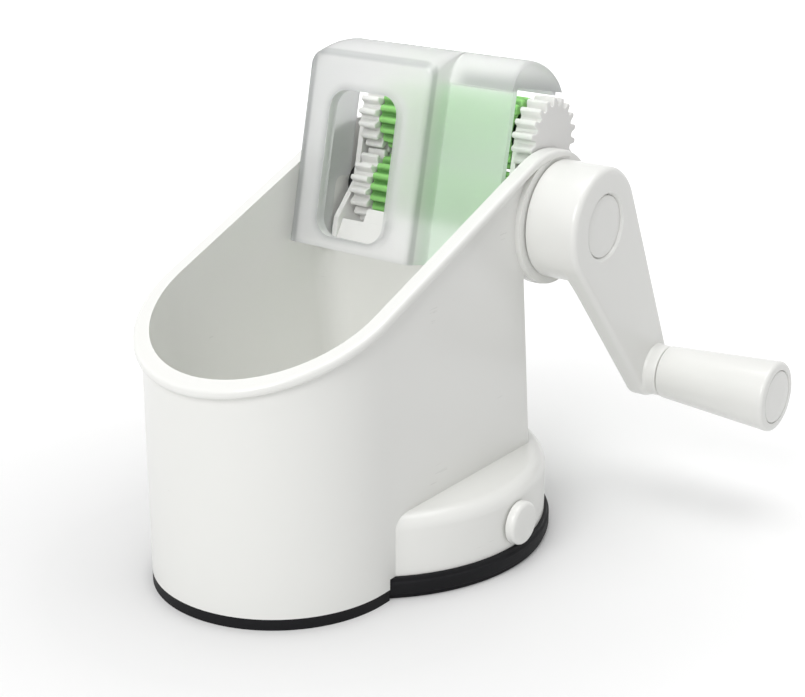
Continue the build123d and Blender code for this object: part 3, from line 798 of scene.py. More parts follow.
@dataclass(frozen=True)
class Rubber:
    """Black rubber, dull, with a pale bloom."""

    slot: Slot
    colour: Colour
    bloom: Colour

    def build(self, effects: Effects) -> bpy.types.Material:
        """Build the material."""
        coat = Coat(self.slot.value, effects)
        coat.paint(self.colour, self.bloom, self.bloom, self.colour, 0.55, 0.2)
        coat.rub(0.6, 0.22, 70.0)
        coat.roughen(1800.0, 0.9, 0.02)
        coat.set(Specular_IOR_Level=0.16)
        return coat.material


@dataclass(frozen=True)
class BrushedSteel:
    """Drawn steel with fine streaks along X."""

    slot: Slot
    colour: Colour
    smoothest: float = 0.24
    roughest: float = 0.42

    def build(self, effects: Effects) -> bpy.types.Material:
        """Build the material."""
        coat = Coat(self.slot.value, effects)
        dark = tuple(part * 0.72 for part in self.colour)
        # the dark colour is the clouds' tone and, in tight corners, a painted shade
        coat.paint(self.colour, dark, self.colour, dark, 0.5, 0.4)
        lines = coat.graph.stretch(Scale=(60.0, 1500.0, 1500.0))
        streaks = coat.graph.noise(lines, Scale=1.0, Detail=3.0)
        span = coat.graph.add("ShaderNodeMapRange", To_Min=self.smoothest, To_Max=self.roughest)
        coat.graph.join(streaks.outputs[0], span.inputs["Value"])
        coat.graph.join(span.outputs[0], coat.shader.inputs["Roughness"])
        coat.set(Metallic=1.0)
        return coat.material


@dataclass(frozen=True)
class FrostedPlastic:
    """Frosted clear plastic that blurs what lies behind it, with painted shade along its edges and
    silhouettes.
    """

    slot: Slot
    layout: Layout
    colour: Colour
    shade: Colour
    # grey of the painted shade along the hood's edges, edge bands and silhouettes
    edge: Colour
    glow: Colour
    roughness: float
    clearness: float
    shadow_pass: float
    shape: HoodShape = HoodShape()

    def span(self, way: Vector, place: float, start: float, end: float) -> Span:
        """A fade about a place of the hood.

        Args:
            way: Direction of the fade.
            place: The place in the tilted frame, along that direction.
            start: Where the fade starts, from the place.
            end: Where it ends, from the place.

        Returns:
            The fade's direction, start and end in the part's frame.
        """
        middle = place if way is X_AXIS else place + self.layout.crank.dot(way)
        return way, middle + start, middle + end

    def near_rollers(self) -> tuple[Span, ...]:
        """Region of the front panel, close before the rollers."""
        ahead, up, shape = self.layout.ahead, self.layout.up, self.shape
        return (self.span(ahead, shape.panel_v, 9.5, 1.0),
                self.span(X_AXIS, shape.box_right, -4.9, 0.1),
                self.span(up, shape.roof_edge, 1.1, -1.9))

    def painted_shade_bands(self) -> tuple[tuple[Span, ...], ...]:
        """Bands of painted shade on the roof's lip and on the left, upper and right edges of the
        box.
        """
        ahead, up, shape = self.layout.ahead, self.layout.up, self.shape
        return (
            (self.span(up, shape.roof_edge, -0.2, 0.4), self.span(up, shape.roof_edge, 6.6, 1.1),
             self.span(X_AXIS, shape.box_right, 0.1, 6.1)),
            (self.span(X_AXIS, shape.left, 4.4, 3.0), self.span(X_AXIS, shape.left, 0.1, 1.3)),
            (self.span(up, shape.box_top, -2.4, -1.2), self.span(ahead, shape.box_v, -2.8, -1.2),
             self.span(X_AXIS, shape.box_right, 0.1, -2.9)),
            (self.span(X_AXIS, shape.box_right, -1.2, -0.3),
             self.span(ahead, shape.box_v, -3.8, -2.4), self.span(ahead, shape.box_v, -0.2, -1.2)),
        )

    def build(self, effects: Effects) -> bpy.types.Material:
        """Build the material."""
        coat = Coat(self.slot.value, effects)
        # outer edges take the edge grey as painted shade
        colour = coat.paint(self.colour, self.shade, self.edge, self.colour, 0.3, 0.5,
                            edge_width=1.8)
        colour = coat.tint(colour, self.glow, coat.within(*self.near_rollers()))
        # painted shade in bands along the roof's lip and the box's edges
        for spans in self.painted_shade_bands():
            colour = coat.tint(colour, self.edge, coat.within(*spans))
        # painted shade towards the silhouettes, growing as the surface turns away from the view
        turning = coat.graph.add("ShaderNodeLayerWeight", Blend=0.5)
        away = coat.graph.math("POWER", turning.outputs["Facing"], 5.0)
        coat.tint(colour, self.edge, coat.graph.math("MULTIPLY", away, 0.6))
        coat.rub(self.roughness, 0.08, 45.0)
        coat.roughen(3000.0, 0.4, 0.004)
        coat.set(Transmission_Weight=self.clearness, IOR=1.3)
        rays = coat.graph.add("ShaderNodeLightPath")
        passed = coat.graph.math("MULTIPLY", rays.outputs["Is Shadow Ray"], self.shadow_pass)
        coat.graph.join(coat.graph.math("SUBTRACT", 1.0, passed), coat.shader.inputs["Alpha"])
        return coat.material


@dataclass
class Palette:
    """All finishes of the part, and the way that pieces are dressed."""

    frame: dict
    layout: Layout
    made: dict[str, bpy.types.Material] = field(default_factory=dict)

    def build(self) -> None:
        """Build every material."""
        effects = Effects.build()
        finishes = (
            MouldedPlastic(Slot.WHITE_GLOSS, colour=(0.85, 0.852, 0.825),
                           shade=(0.81, 0.815, 0.79), corner=(0.72, 0.72, 0.69),
                           roughness=0.30, spread=0.10, grain=0.004, coat=0.35),
            MouldedPlastic(Slot.WHITE_MATTE, colour=(0.84, 0.835, 0.82),
                           shade=(0.78, 0.775, 0.76), corner=(0.62, 0.62, 0.60),
                           roughness=0.46, spread=0.14, grain=0.008, wear_and_shade=0.35),
            MouldedPlastic(Slot.BLACK_PLASTIC, colour=(0.014, 0.014, 0.015),
                           shade=(0.03, 0.03, 0.03), corner=(0.008, 0.008, 0.008),
                           roughness=0.40, spread=0.14, grain=0.012),
            # the rollers' near-black corner colour, strongly applied, paints shade into the flute
            # grooves
            MouldedPlastic(Slot.GREEN_ROLLER, colour=(0.30, 0.66, 0.20),
                           shade=(0.22, 0.56, 0.14), corner=(0.015, 0.10, 0.01),
                           roughness=0.36, spread=0.14, grain=0.008, wear_and_shade=1.2),
            Rubber(Slot.BLACK_RUBBER, colour=(0.006, 0.006, 0.007), bloom=(0.016, 0.016, 0.018)),
            BrushedSteel(Slot.STEEL, colour=(0.56, 0.57, 0.58)),
            # the hood's edge grey is a painted shade
            FrostedPlastic(Slot.FROSTED_CLEAR, self.layout, colour=(0.90, 0.90, 0.90),
                           shade=(0.87, 0.875, 0.87), edge=(0.60, 0.61, 0.61),
                           glow=(0.79, 0.89, 0.80), roughness=0.46, clearness=0.66,
                           shadow_pass=0.85),
        )
        for finish in finishes:
            self.made[finish.slot.value] = finish.build(effects)

    def keep(self, *nodes: str) -> None:
        """Dress CAD nodes that stay as they are in their slot's finish."""
        slots = {part["node"]: part["material_slot"]
                 for part in self.frame["record"]["subparts"]}
        for name in nodes:
            mesh = self.frame["nodes"][name].data
            mesh.materials.clear()
            mesh.materials.append(self.made[slots[name]])
            LOG.info("dressed %s in %s", name, slots[name])

    def fit(self, piece: bpy.types.Object, body: str, slot: Slot, *nodes: str) -> None:
        """Dress a built piece and join it to the frame.

        Args:
            piece: The piece.
            body: Body that it moves with.
            slot: Its finish.
            nodes: CAD nodes that it stands for.
        """
        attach(piece, body)
        self.dress(piece, slot, *nodes)

    def dress(self, piece: bpy.types.Object, slot: Slot, *nodes: str) -> None:
        """Dress a piece that already moves with the frame.

        Args:
            piece: The piece.
            slot: Its finish.
            nodes: CAD nodes that it stands for.
        """
        piece.data.materials.clear()
        piece.data.materials.append(self.made[slot.value])
        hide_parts(*nodes)
        LOG.info("built %s", piece.name)


# ---- rollers and gears ------------------------------------------------------
@dataclass
class Rollers:
    """Two fluted green rollers and the white gears that join them."""

    layout: Layout
    palette: Palette
    teeth: int = 18
    shaft_r: float = 3.02
    roller_r: float = 11.35
    roller_x: Flat = (-23.5, 25.2)
    roller_edge: float = 0.8
    flute_depth: float = 1.5
    flute_sharpness: float = 1.3
    flute_points: int = 14
    gear_root_r: float = 10.3
    gear_tip_r: float = 12.74
    gear_rim_r: float = 9.3
    gear_hub_r: float = 5.2
    gear_web_r: Flat = (5.6, 8.8)
    gear_edge: float = 0.35
    tooth_points: int = 16
    gears_x: tuple[tuple[str, Flat], ...] = (("left", (-30.6, -23.9)), ("right", (27.8, 35.2)))

    def fluted(self, axis: Vector, x: float, phase: float, drop: float) -> Loop:
        """One loop of a roller's surface.

        Args:
            axis: Place of the axis.
            x: Place along the axis.
            phase: Angle of one flute.
            drop: How far the loop lies inside the full size.

        Returns:
            The loop.
        """
        loop = []
        count = self.teeth * self.flute_points
        for k in range(count):
            turn = phase + 2 * math.pi * k / count
            wave = 0.5 + 0.5 * math.cos(self.teeth * (turn - phase))
            radius = self.roller_r - drop - self.flute_depth * wave ** self.flute_sharpness
            loop.append(Vector((x, axis.y + radius * math.cos(turn),
                                axis.z + radius * math.sin(turn))))
        return loop

    def roller(self, name: str, axis: Vector, phase: float) -> bpy.types.Object:
        """Build a roller sleeve with softened ends, a dished right end and a bore."""
        x0, x1 = self.roller_x
        sleeve = rounded_slab(lambda x, drop: self.fluted(axis, x, phase, drop), self.roller_x,
                              (self.roller_edge, self.roller_edge), (4, 4))
        dish = x1 - 0.8
        inside = [circle_x(axis, x, r, self.teeth * self.flute_points) for x, r in (
            (x1, 8.2), (dish, 7.4), (dish, 5.0), (x1, 4.6), (x1, self.shaft_r),
            (x0, self.shaft_r), (x0, 8.2))]
        return MeshMaker(name).loft(sleeve + inside, Ends.JOINED).make(40)

    def toothed(self, axis: Vector, x: float, phase: float, trim: float) -> Loop:
        """One loop of a gear's outline.

        Args:
            axis: Place of the axis.
            x: Place along the axis.
            phase: Angle of one tooth.
            trim: How far the teeth lie inside the full size.

        Returns:
            The loop.
        """
        pitch = 2 * math.pi / self.teeth
        tip, root = self.gear_tip_r - trim, self.gear_root_r - 0.3 * trim
        narrow = trim / self.gear_tip_r
        # a tooth's shape as radius against half its share of the pitch
        flank = ((0.50, 0.0), (0.36, 0.02), (0.315, 0.14), (0.275, 0.36), (0.24, 0.58),
                 (0.195, 0.80), (0.155, 0.94), (0.09, 1.0))
        loop = []
        for k in range(self.teeth):
            for side, steps in ((-1, flank), (1, flank[::-1])):
                for share, rise in steps:
                    turn = phase + pitch * (k + side * share) - side * narrow * min(1, 4 * rise)
                    radius = root + (tip - root) * rise
                    loop.append(Vector((x, axis.y + radius * math.cos(turn),
                                        axis.z + radius * math.sin(turn))))
        return loop

    def gear(self, name: str, axis: Vector, phase: float, span: Flat,
             blind: bool) -> bpy.types.Object:
        """Build a gear with softened tooth ends.

        Args:
            name: Name of the piece.
            axis: Place of its axis.
            phase: Angle of one tooth.
            span: Start and end along X.
            blind: Whether its outer face is closed.

        Returns:
            The gear.
        """
        x0, x1 = span
        toothed = rounded_slab(lambda x, trim: self.toothed(axis, x, phase, trim), span,
                               (self.gear_edge, self.gear_edge), (3, 3))
        web_in, web_out = self.gear_web_r
        left, right = x0 + 1.4, x1 - 0.7
        inner = self.rings(axis, phase, ((x0, self.gear_hub_r), (left, web_in), (left, web_out),
                                         (x0, self.gear_rim_r)))
        if blind:
            hole = x1 - 1.6
            bore = self.rings(axis, phase, ((hole, 0.5), (hole, self.shaft_r), (x0, self.shaft_r)))
            closed = self.rings(axis, phase, ((x1, self.gear_rim_r), (x1, 5.0), (x1, 1.0)))
            return MeshMaker(name).loft(bore + inner + toothed + closed).make(32)
        dish = self.rings(axis, phase, (
            (x1, self.gear_rim_r), (right, web_out), (right, web_in), (x1, self.gear_hub_r),
            (x1, self.shaft_r), (x0, self.shaft_r)))
        return MeshMaker(name).loft(toothed + dish + inner, Ends.JOINED).make(32)

    def rings(self, axis: Vector, phase: float, path: Iterable[Flat]) -> list[Loop]:
        """Plain loops whose points match those of a toothed loop.

        Args:
            axis: Place of the gear's axis.
            phase: Angle of one tooth.
            path: Places along the axis, each with its radius.

        Returns:
            The loops.
        """
        count = self.teeth * self.tooth_points
        start = phase - math.pi / self.teeth
        return [circle_x(axis, x, radius, count, start) for x, radius in path]

    def build(self) -> None:
        """Build both roller sets and dress their shafts."""
        mesh = self.layout.mesh_angle
        half = math.pi / self.teeth
        sets = (("lower", self.layout.crank, mesh, "crank"),
                ("upper", self.layout.upper, mesh + half, "upper_roller_set"))
        for level, axis, phase, body in sets:
            roller = self.roller(f"{level}_roller_fluted", axis, phase)
            self.palette.fit(roller, body, Slot.GREEN_ROLLER, f"{level}_roller")
            for side, span in self.gears_x:
                blind = (level, side) == ("upper", "right")
                gear = self.gear(f"{level}_{side}_gear_toothed", axis, phase, span, blind)
                self.palette.fit(gear, body, Slot.WHITE_MATTE, f"{level}_{side}_gear")
        self.palette.keep("lower_shaft", "upper_shaft", "thrust_washer")


# ---- crank ------------------------------------------------------------------
@dataclass
class Crank:
    """Hollow hub, tapered arm and free-turning grip."""

    layout: Layout
    palette: Palette
    hub_r: float = 18.1
    hub_x: Flat = (40.3, 57.6)
    wall: float = 2.4
    arm_t: float = 6.45
    arm_end_r: float = 9.2
    boss_x: float = 61.8
    boss_r: float = 8.2
    face_round: float = 1.9
    back_round: float = 0.8
    cap_r: float = 9.6
    cap_sunk: float = 0.5
    shaft_r: float = 3.02
    grip_x: Flat = (62.2, 100.8)
    grip_r: Flat = (8.6, 11.3)
    plug_r: float = 8.3
    pin_r: float = 2.86
    pin_head_r: float = 5.4
    pin_seat: float = 94.8
    round_points: tuple[int, int] = (40, 110)
    side_points: int = 24

    def outline(self) -> list[Flat]:
        """Outline of the arm in the YZ plane, anticlockwise."""
        near = Vector((self.layout.crank.y, self.layout.crank.z))
        far = Vector((self.layout.grip.y, self.layout.grip.z))
        line = far - near
        heading = math.atan2(line.y, line.x)
        side = math.acos((self.hub_r - self.arm_end_r) / line.length)
        turns = (heading - side, heading + side, heading + 2 * math.pi - side)
        tip = self.arc(far, self.arm_end_r, spread(*turns[:2], self.round_points[0]))
        hub = self.arc(near, self.hub_r, spread(*turns[1:], self.round_points[1]))
        return tip + self.straight(tip[-1], hub[0]) + hub + self.straight(hub[-1], tip[0])

    @staticmethod
    def arc(centre: Vector, radius: float, turns: Iterable[float]) -> list[Flat]:
        """Points of an arc at the given angles."""
        return [(centre.x + radius * math.cos(t), centre.y + radius * math.sin(t))
                for t in turns]

    def straight(self, start: Flat, end: Flat) -> list[Flat]:
        """Points along a straight side of the arm, without its two ends."""
        shares = [k / (self.side_points + 1) for k in range(1, self.side_points + 1)]
        return [tuple(Vector(start).lerp(Vector(end), share)) for share in shares]

    def spokes(self, outline: Sequence[Flat], x: float, radius: float) -> Loop:
        """A circle round the crank's axis, point for point with the outline."""
        axis = self.layout.crank
        loop = []
        for y, z in outline:
            away = Vector((0, y - axis.y, z - axis.z)).normalized() * radius
            loop.append(Vector((x, axis.y + away.y, axis.z + away.z)))
        return loop

    def arm(self) -> bpy.types.Object:
        """Build the crank's arm and hub."""
        outline = self.outline()
        axis = self.layout.crank
        x0, x1 = self.hub_x
        back = x1 - self.arm_t
        cap_seat, screw_seat, shaft_end = x1 - 1.9, x1 - 4.2, x1 - 5.5
        head_r, screw_r, socket_r = 5.2, 1.8, 6.6
        socket_x = x0 + 2.4
        reach = [math.hypot(y - axis.y, z - axis.z) for y, z in outline]
        share = [min(1.0, max(0.0, (r - self.hub_r) / 4)) for r in reach]

        def flat(x: float, depth: float | list[float]) -> Loop:
            """The arm's outline at a place, drawn in."""
            return [Vector((x, y, z)) for y, z in inset(outline, depth)]

        loops = [self.spokes(outline, x, r) for x, r in soften((
            (x1, self.cap_r + 1.3, 0), (x1, self.cap_r + 0.9, 0.3),
            (x1 - 1.0, self.cap_r + 0.12, 0), (cap_seat, self.cap_r + 0.1, 0),
            (cap_seat, head_r, 0), (screw_seat, head_r, 0), (screw_seat, screw_r, 0),
            (shaft_end, screw_r, 0), (shaft_end, self.shaft_r, 0), (socket_x, self.shaft_r, 0),
            (socket_x, socket_r, 0), (back, socket_r, 0), (back, self.hub_r - self.wall, 1.0),
            (x0, self.hub_r - self.wall, 0), (x0, self.hub_r, 0.5), (back, self.hub_r, 0)))]
        for sunk, depth in quarter(self.back_round, 3):
            loops.append(flat(back + depth, [sunk * part for part in share]))
        for sunk, depth in reversed(quarter(self.face_round, 6)):
            loops.append(flat(x1 - depth, sunk))
        shape = MeshMaker("crank_arm_moulded").loft(loops, Ends.JOINED)
        boss = soften(((x1 - 1, self.pin_r, 0), (x1 - 1, self.boss_r + 0.7, 0),
                       (x1 + 0.9, self.boss_r + 0.1, 2.0), (self.boss_x, self.boss_r, 0.5),
                       (self.boss_x, self.pin_r, 0)))
        return shape.loft([circle_x(self.layout.grip, x, r) for x, r in boss],
                          Ends.JOINED).make(40)

    def cap(self) -> bpy.types.Object:
        """Build the sunk round cap of the hub."""
        x1 = self.hub_x[1] - self.cap_sunk
        crown = 0.25
        path = soften(((x1 - 1.3, 0.0, 0), (x1 - 1.3, self.cap_r, 0), (x1 - crown, self.cap_r, 0.35),
                       (x1 - 0.08, 0.6 * self.cap_r, 3.0), (x1, 0.0, 0)))
        return turned("hub_cap_disc", self.layout.crank, Spin.ALONG_X, path).make(40)

    def grip(self) -> bpy.types.Object:
        """Build the conical grip with its rounded end."""
        x0, x1 = self.grip_x
        r0, r1 = self.grip_r
        well = x1 - 2.0
        well_r = self.plug_r + 0.12
        path = soften(((x0, self.pin_r, 0), (x0, r0 - 0.1, 0.5), (x1 - 0.2, r1, 1.9),
                       (x1, self.plug_r + 0.4, 0.2), (x1 - 0.5, well_r, 0), (well, well_r, 0),
                       (well, self.pin_head_r, 0), (self.pin_seat, self.pin_head_r, 0),
                       (self.pin_seat, self.pin_r, 0)))
        return turned("grip_cone", self.layout.grip, Spin.ALONG_X, path, Ends.JOINED).make(40)

    def plug(self) -> bpy.types.Object:
        """Build the round plug in the grip's end."""
        x1 = self.grip_x[1]
        x0 = x1 - 1.9
        path = soften(((x0, 0, 0), (x0, self.plug_r, 0), (x1 - 0.15, self.plug_r, 0.4),
                       (x1, 5.0, 2.0), (x1, 0, 0)))
        return turned("grip_plug", self.layout.grip, Spin.ALONG_X, path).make(40)

    def build(self) -> None:
        """Build the whole crank."""
        fit = self.palette.fit
        fit(self.arm(), "crank", Slot.WHITE_GLOSS, "crank_arm")
        fit(self.cap(), "crank", Slot.WHITE_GLOSS, "hub_cap")
        fit(self.grip(), "grip", Slot.WHITE_GLOSS, "grip")
        fit(self.plug(), "grip", Slot.WHITE_GLOSS, "grip_cap")
        self.palette.keep("crank_screw", "grip_pin")


# ---- hood -------------------------------------------------------------------
@dataclass(frozen=True)
class Station:
    """One cross-section of the hood's form: its place and how far it draws in."""

    x: float
    box: float
    front: float = 0.0
    roof: float = 0.0
    crest: float = 0.0


@dataclass
class Hood:
    """Frosted clear hood: feed box with a window, front panel and curved roof."""

    layout: Layout
    palette: Palette
    shape: HoodShape = HoodShape()
    thickness: float = 2.0
    bottom: float = -19.0
    crest: Flat = (17.0, 46.0)
    rear: Flat = (-3.2, 37.2)
    ledge: float = 0.45
    side_round: float = 3.4
    front_round: float = 1.9
    corner_round: float = 4.2
    edge_round: float = 1.3
    top_round: float = 6.5
    end_round: float = 1.4
    window_x: Flat = (-24.4, 1.0)
    window_u: Flat = (-15.2, 30.0)
    window_round: float = 6.0
    open_reach: float = 25.0
    relief_r: float = 13.34
    relief_x: Flat = (-31.2, 35.8)
    behind: float = -40.0

    def box_curve(self, station: Station, wall: float) -> list[Flat]:
        """Side curve over the feed box, from its front foot to the crest.

        Args:
            station: The cross-section.
            wall: How far the curve lies inside the outer surface.

        Returns:
            Points as (v, u).
        """
        front = self.shape.box_v - wall - station.front
        top = self.shape.box_top - wall - station.roof
        foot = self.bottom - (self.open_reach if wall else 0)
        radius = max(0.8, self.front_round - 0.6 * wall)
        points = [(front, u) for u in spread(foot, top - radius, 8)[:-1]]
        for turn in spread(0, math.pi / 3, 7):
            points.append((front - radius + radius * math.cos(turn),
                           top - radius + radius * math.sin(turn)))
        v0, u0 = points[-1]
        crest = (self.crest[0], self.crest[1] - wall - station.crest)
        for s in spread(0, 1, 12)[1:]:
            points.append((v0 + (crest[0] - v0) * s, u0 + (crest[1] - u0) * (1 - (1 - s) ** 2)))
        return points

    def panel_curve(self, station: Station, wall: float) -> list[Flat]:
        """Side curve over the front panel, from its foot to the crest."""
        front = self.shape.panel_v - wall
        foot = self.bottom - (self.open_reach if wall else 0)
        ledge = 0.0 if wall else self.ledge
        points = [(front, u) for u in spread(foot, self.shape.roof_edge - ledge, 8)[:-1]]
        points.append((front, self.shape.roof_edge - ledge))
        rise = self.crest[1] - wall - station.crest - self.shape.roof_edge
        for turn in spread(0, math.pi / 2, 17):
            points.append((self.crest[0] + (front + ledge - self.crest[0]) * math.cos(turn),
                           self.shape.roof_edge + rise * math.sin(turn)))
        return points

    def section(self, station: Station, wall: float) -> Loop:
        """Closed cross-section of the hood's form.

        Args:
            station: Its place and how far it draws in.
            wall: How far it lies inside the outer surface.

        Returns:
            The loop of points.
        """
        box = self.box_curve(station, wall)
        panel = self.panel_curve(station, wall)
        share = station.box
        front = [(a * share + c * (1 - share), b * share + d * (1 - share))
                 for (a, b), (c, d) in zip(box, panel)]
        crest = Vector(front[-1])
        rear = Vector((self.rear[0], self.rear[1] - 1.1 * (wall + station.crest)))
        lead, tail = crest + Vector((-9.0, 0)), rear + Vector((3.5, 5.6))
        for s in spread(0, 1, 14)[1:]:
            r = 1 - s
            spot = crest * r ** 3 + lead * (3 * s * r * r) + tail * (3 * s * s * r) + rear * s ** 3
            front.append((spot.x, spot.y))
        if wall:
            front.append((rear.x - self.open_reach, rear.y))
        front.append((front[-1][0], front[0][1]))
        return [self.layout.tilted(station.x, v, u) for v, u in front]

    def stations(self, wall: float) -> list[Station]:
        """Cross-sections from the left wall to the right end."""
        left, right = self.shape.left + wall, self.shape.right - wall
        edge = self.shape.box_right - wall
        side = max(0.8, self.side_round - wall)
        top = max(1.0, self.top_round - wall)
        end = max(1.0, self.end_round - wall)
        corner = max(1.0, self.corner_round - wall)
        fine = max(0.8, self.edge_round - wall)
        found = []
        for turn in spread(0, math.pi / 2, 9):
            gap = top * (1 - math.cos(turn))
            found.append(Station(left + gap, 1.0, round_inset(side, gap),
                                 round_inset(top, gap), round_inset(top, gap)))
        gaps = {corner * (1 - math.cos(turn)) for turn in spread(math.pi / 2, 0, 8)}
        gaps |= {fine * (1 - math.cos(turn)) for turn in spread(math.pi / 2, 0, 6)}
        for gap in sorted(gaps, reverse=True):
            found.append(Station(edge - gap, 1.0, round_inset(fine, gap),
                                 round_inset(corner, gap)))
        for gap, share in ((0.0, 0.16), (0.1, 0.08), (0.4, 0.025), (1.1, 0.0)):
            found.append(Station(edge + gap, share, fine, corner))
        for turn in spread(math.pi / 2, 0, 9):
            gap = end * (1 - math.cos(turn))
            found.append(Station(right - gap, 0.0, 0.0, 0.0, round_inset(end, gap)))
        return found

    def form(self, name: str, wall: float) -> bpy.types.Object:
        """Make the closed form of the hood, or of the space inside it."""
        loops = [self.section(station, wall) for station in self.stations(wall)]
        return MeshMaker(name).loft(loops).make()

    def window_loop(self, v: float, grow: float) -> Loop:
        """Outline of the window at a depth, grown by an amount."""
        (x0, x1), (u0, u1) = self.window_x, self.window_u
        radius = self.window_round + grow
        corners = ((x0 - grow, u0 - grow, radius), (x1 + grow, u0 - grow, radius),
                   (x1 + grow, u1 + grow, radius), (x0 - grow, u1 + grow, radius))
        return [self.layout.tilted(x, v, u) for x, u in soften(corners, closed=True, steps=10)]

    def window_cutter(self) -> bpy.types.Object:
        """Make the window's cutter, flared at the outer face."""
        flare = 0.9
        loops = [self.window_loop(self.shape.box_v - 6.5, 0.0)]
        for sunk, depth in reversed(quarter(flare, 5)):
            loops.append(self.window_loop(self.shape.box_v - depth, flare - sunk))
        loops.append(self.window_loop(self.shape.box_v + 2, flare + 2))
        return MeshMaker("window_cutter").loft(loops).make()

    def side_cutter(self, name: str, corners: Sequence[tuple[float, float, float]],
                    x0: float, x1: float) -> bpy.types.Object:
        """Make a cutter from an outline in the tilted side view.

        Args:
            name: Name of the cutter.
            corners: Corners as (v, u, radius).
            x0: Its start along X.
            x1: Its end along X.

        Returns:
            The cutter.
        """
        outline = soften(corners, closed=True, steps=5)
        loops = [[self.layout.tilted(x, v, u) for v, u in outline] for x in (x0, x1)]
        return MeshMaker(name).loft(loops).make()

    def build(self) -> None:
        """Build the hood."""
        wall = self.thickness
        low = self.bottom - self.open_reach - 10
        left, right = self.shape.left, self.shape.right
        inside = self.form("hood_inside", wall)
        lip = MeshMaker("window_lip").loft(
            [self.window_loop(self.shape.box_v - depth, 1.5) for depth in (4.2, -1.0)]).make()
        carve(inside, [lip])
        hood = self.form("hood_moulded", 0.0)
        inner_left = left + wall + 0.4
        front, top = self.shape.panel_v - wall, self.shape.roof_edge + 1.2
        open_side = ((front, low, 0), (front, top, 0), (self.behind, top, 0),
                     (self.behind, low, 0))
        plate_notch = ((9.6, low, 0), (9.6, 32.0, 3.5), (-12, 32.0, 0), (-12, low, 0))
        shaft_notch = ((16.4, low - 1, 0), (16.4, 2.0, 3.0), (0, 2.0, 0), (0, low - 1, 0))
        relief = [(x, self.relief_r) for x in self.relief_x]
        cutters = [
            inside,
            self.side_cutter("open_side", open_side, right - wall - 1, right + 2),
            self.side_cutter("plate_notch", plate_notch, left - 2, inner_left),
            self.side_cutter("shaft_notch", shaft_notch, left - 3, inner_left + 0.05),
            turned("gear_relief", self.layout.upper, Spin.ALONG_X, relief).make(),
            self.window_cutter(),
        ]
        carve(hood, cutters)
        tidy_mesh(hood, 30)
        bevel(hood, 0.3, 2, 50)
        tidy_mesh(hood, 30)
        self.palette.fit(hood, "hood", Slot.FROSTED_CLEAR, "hood")


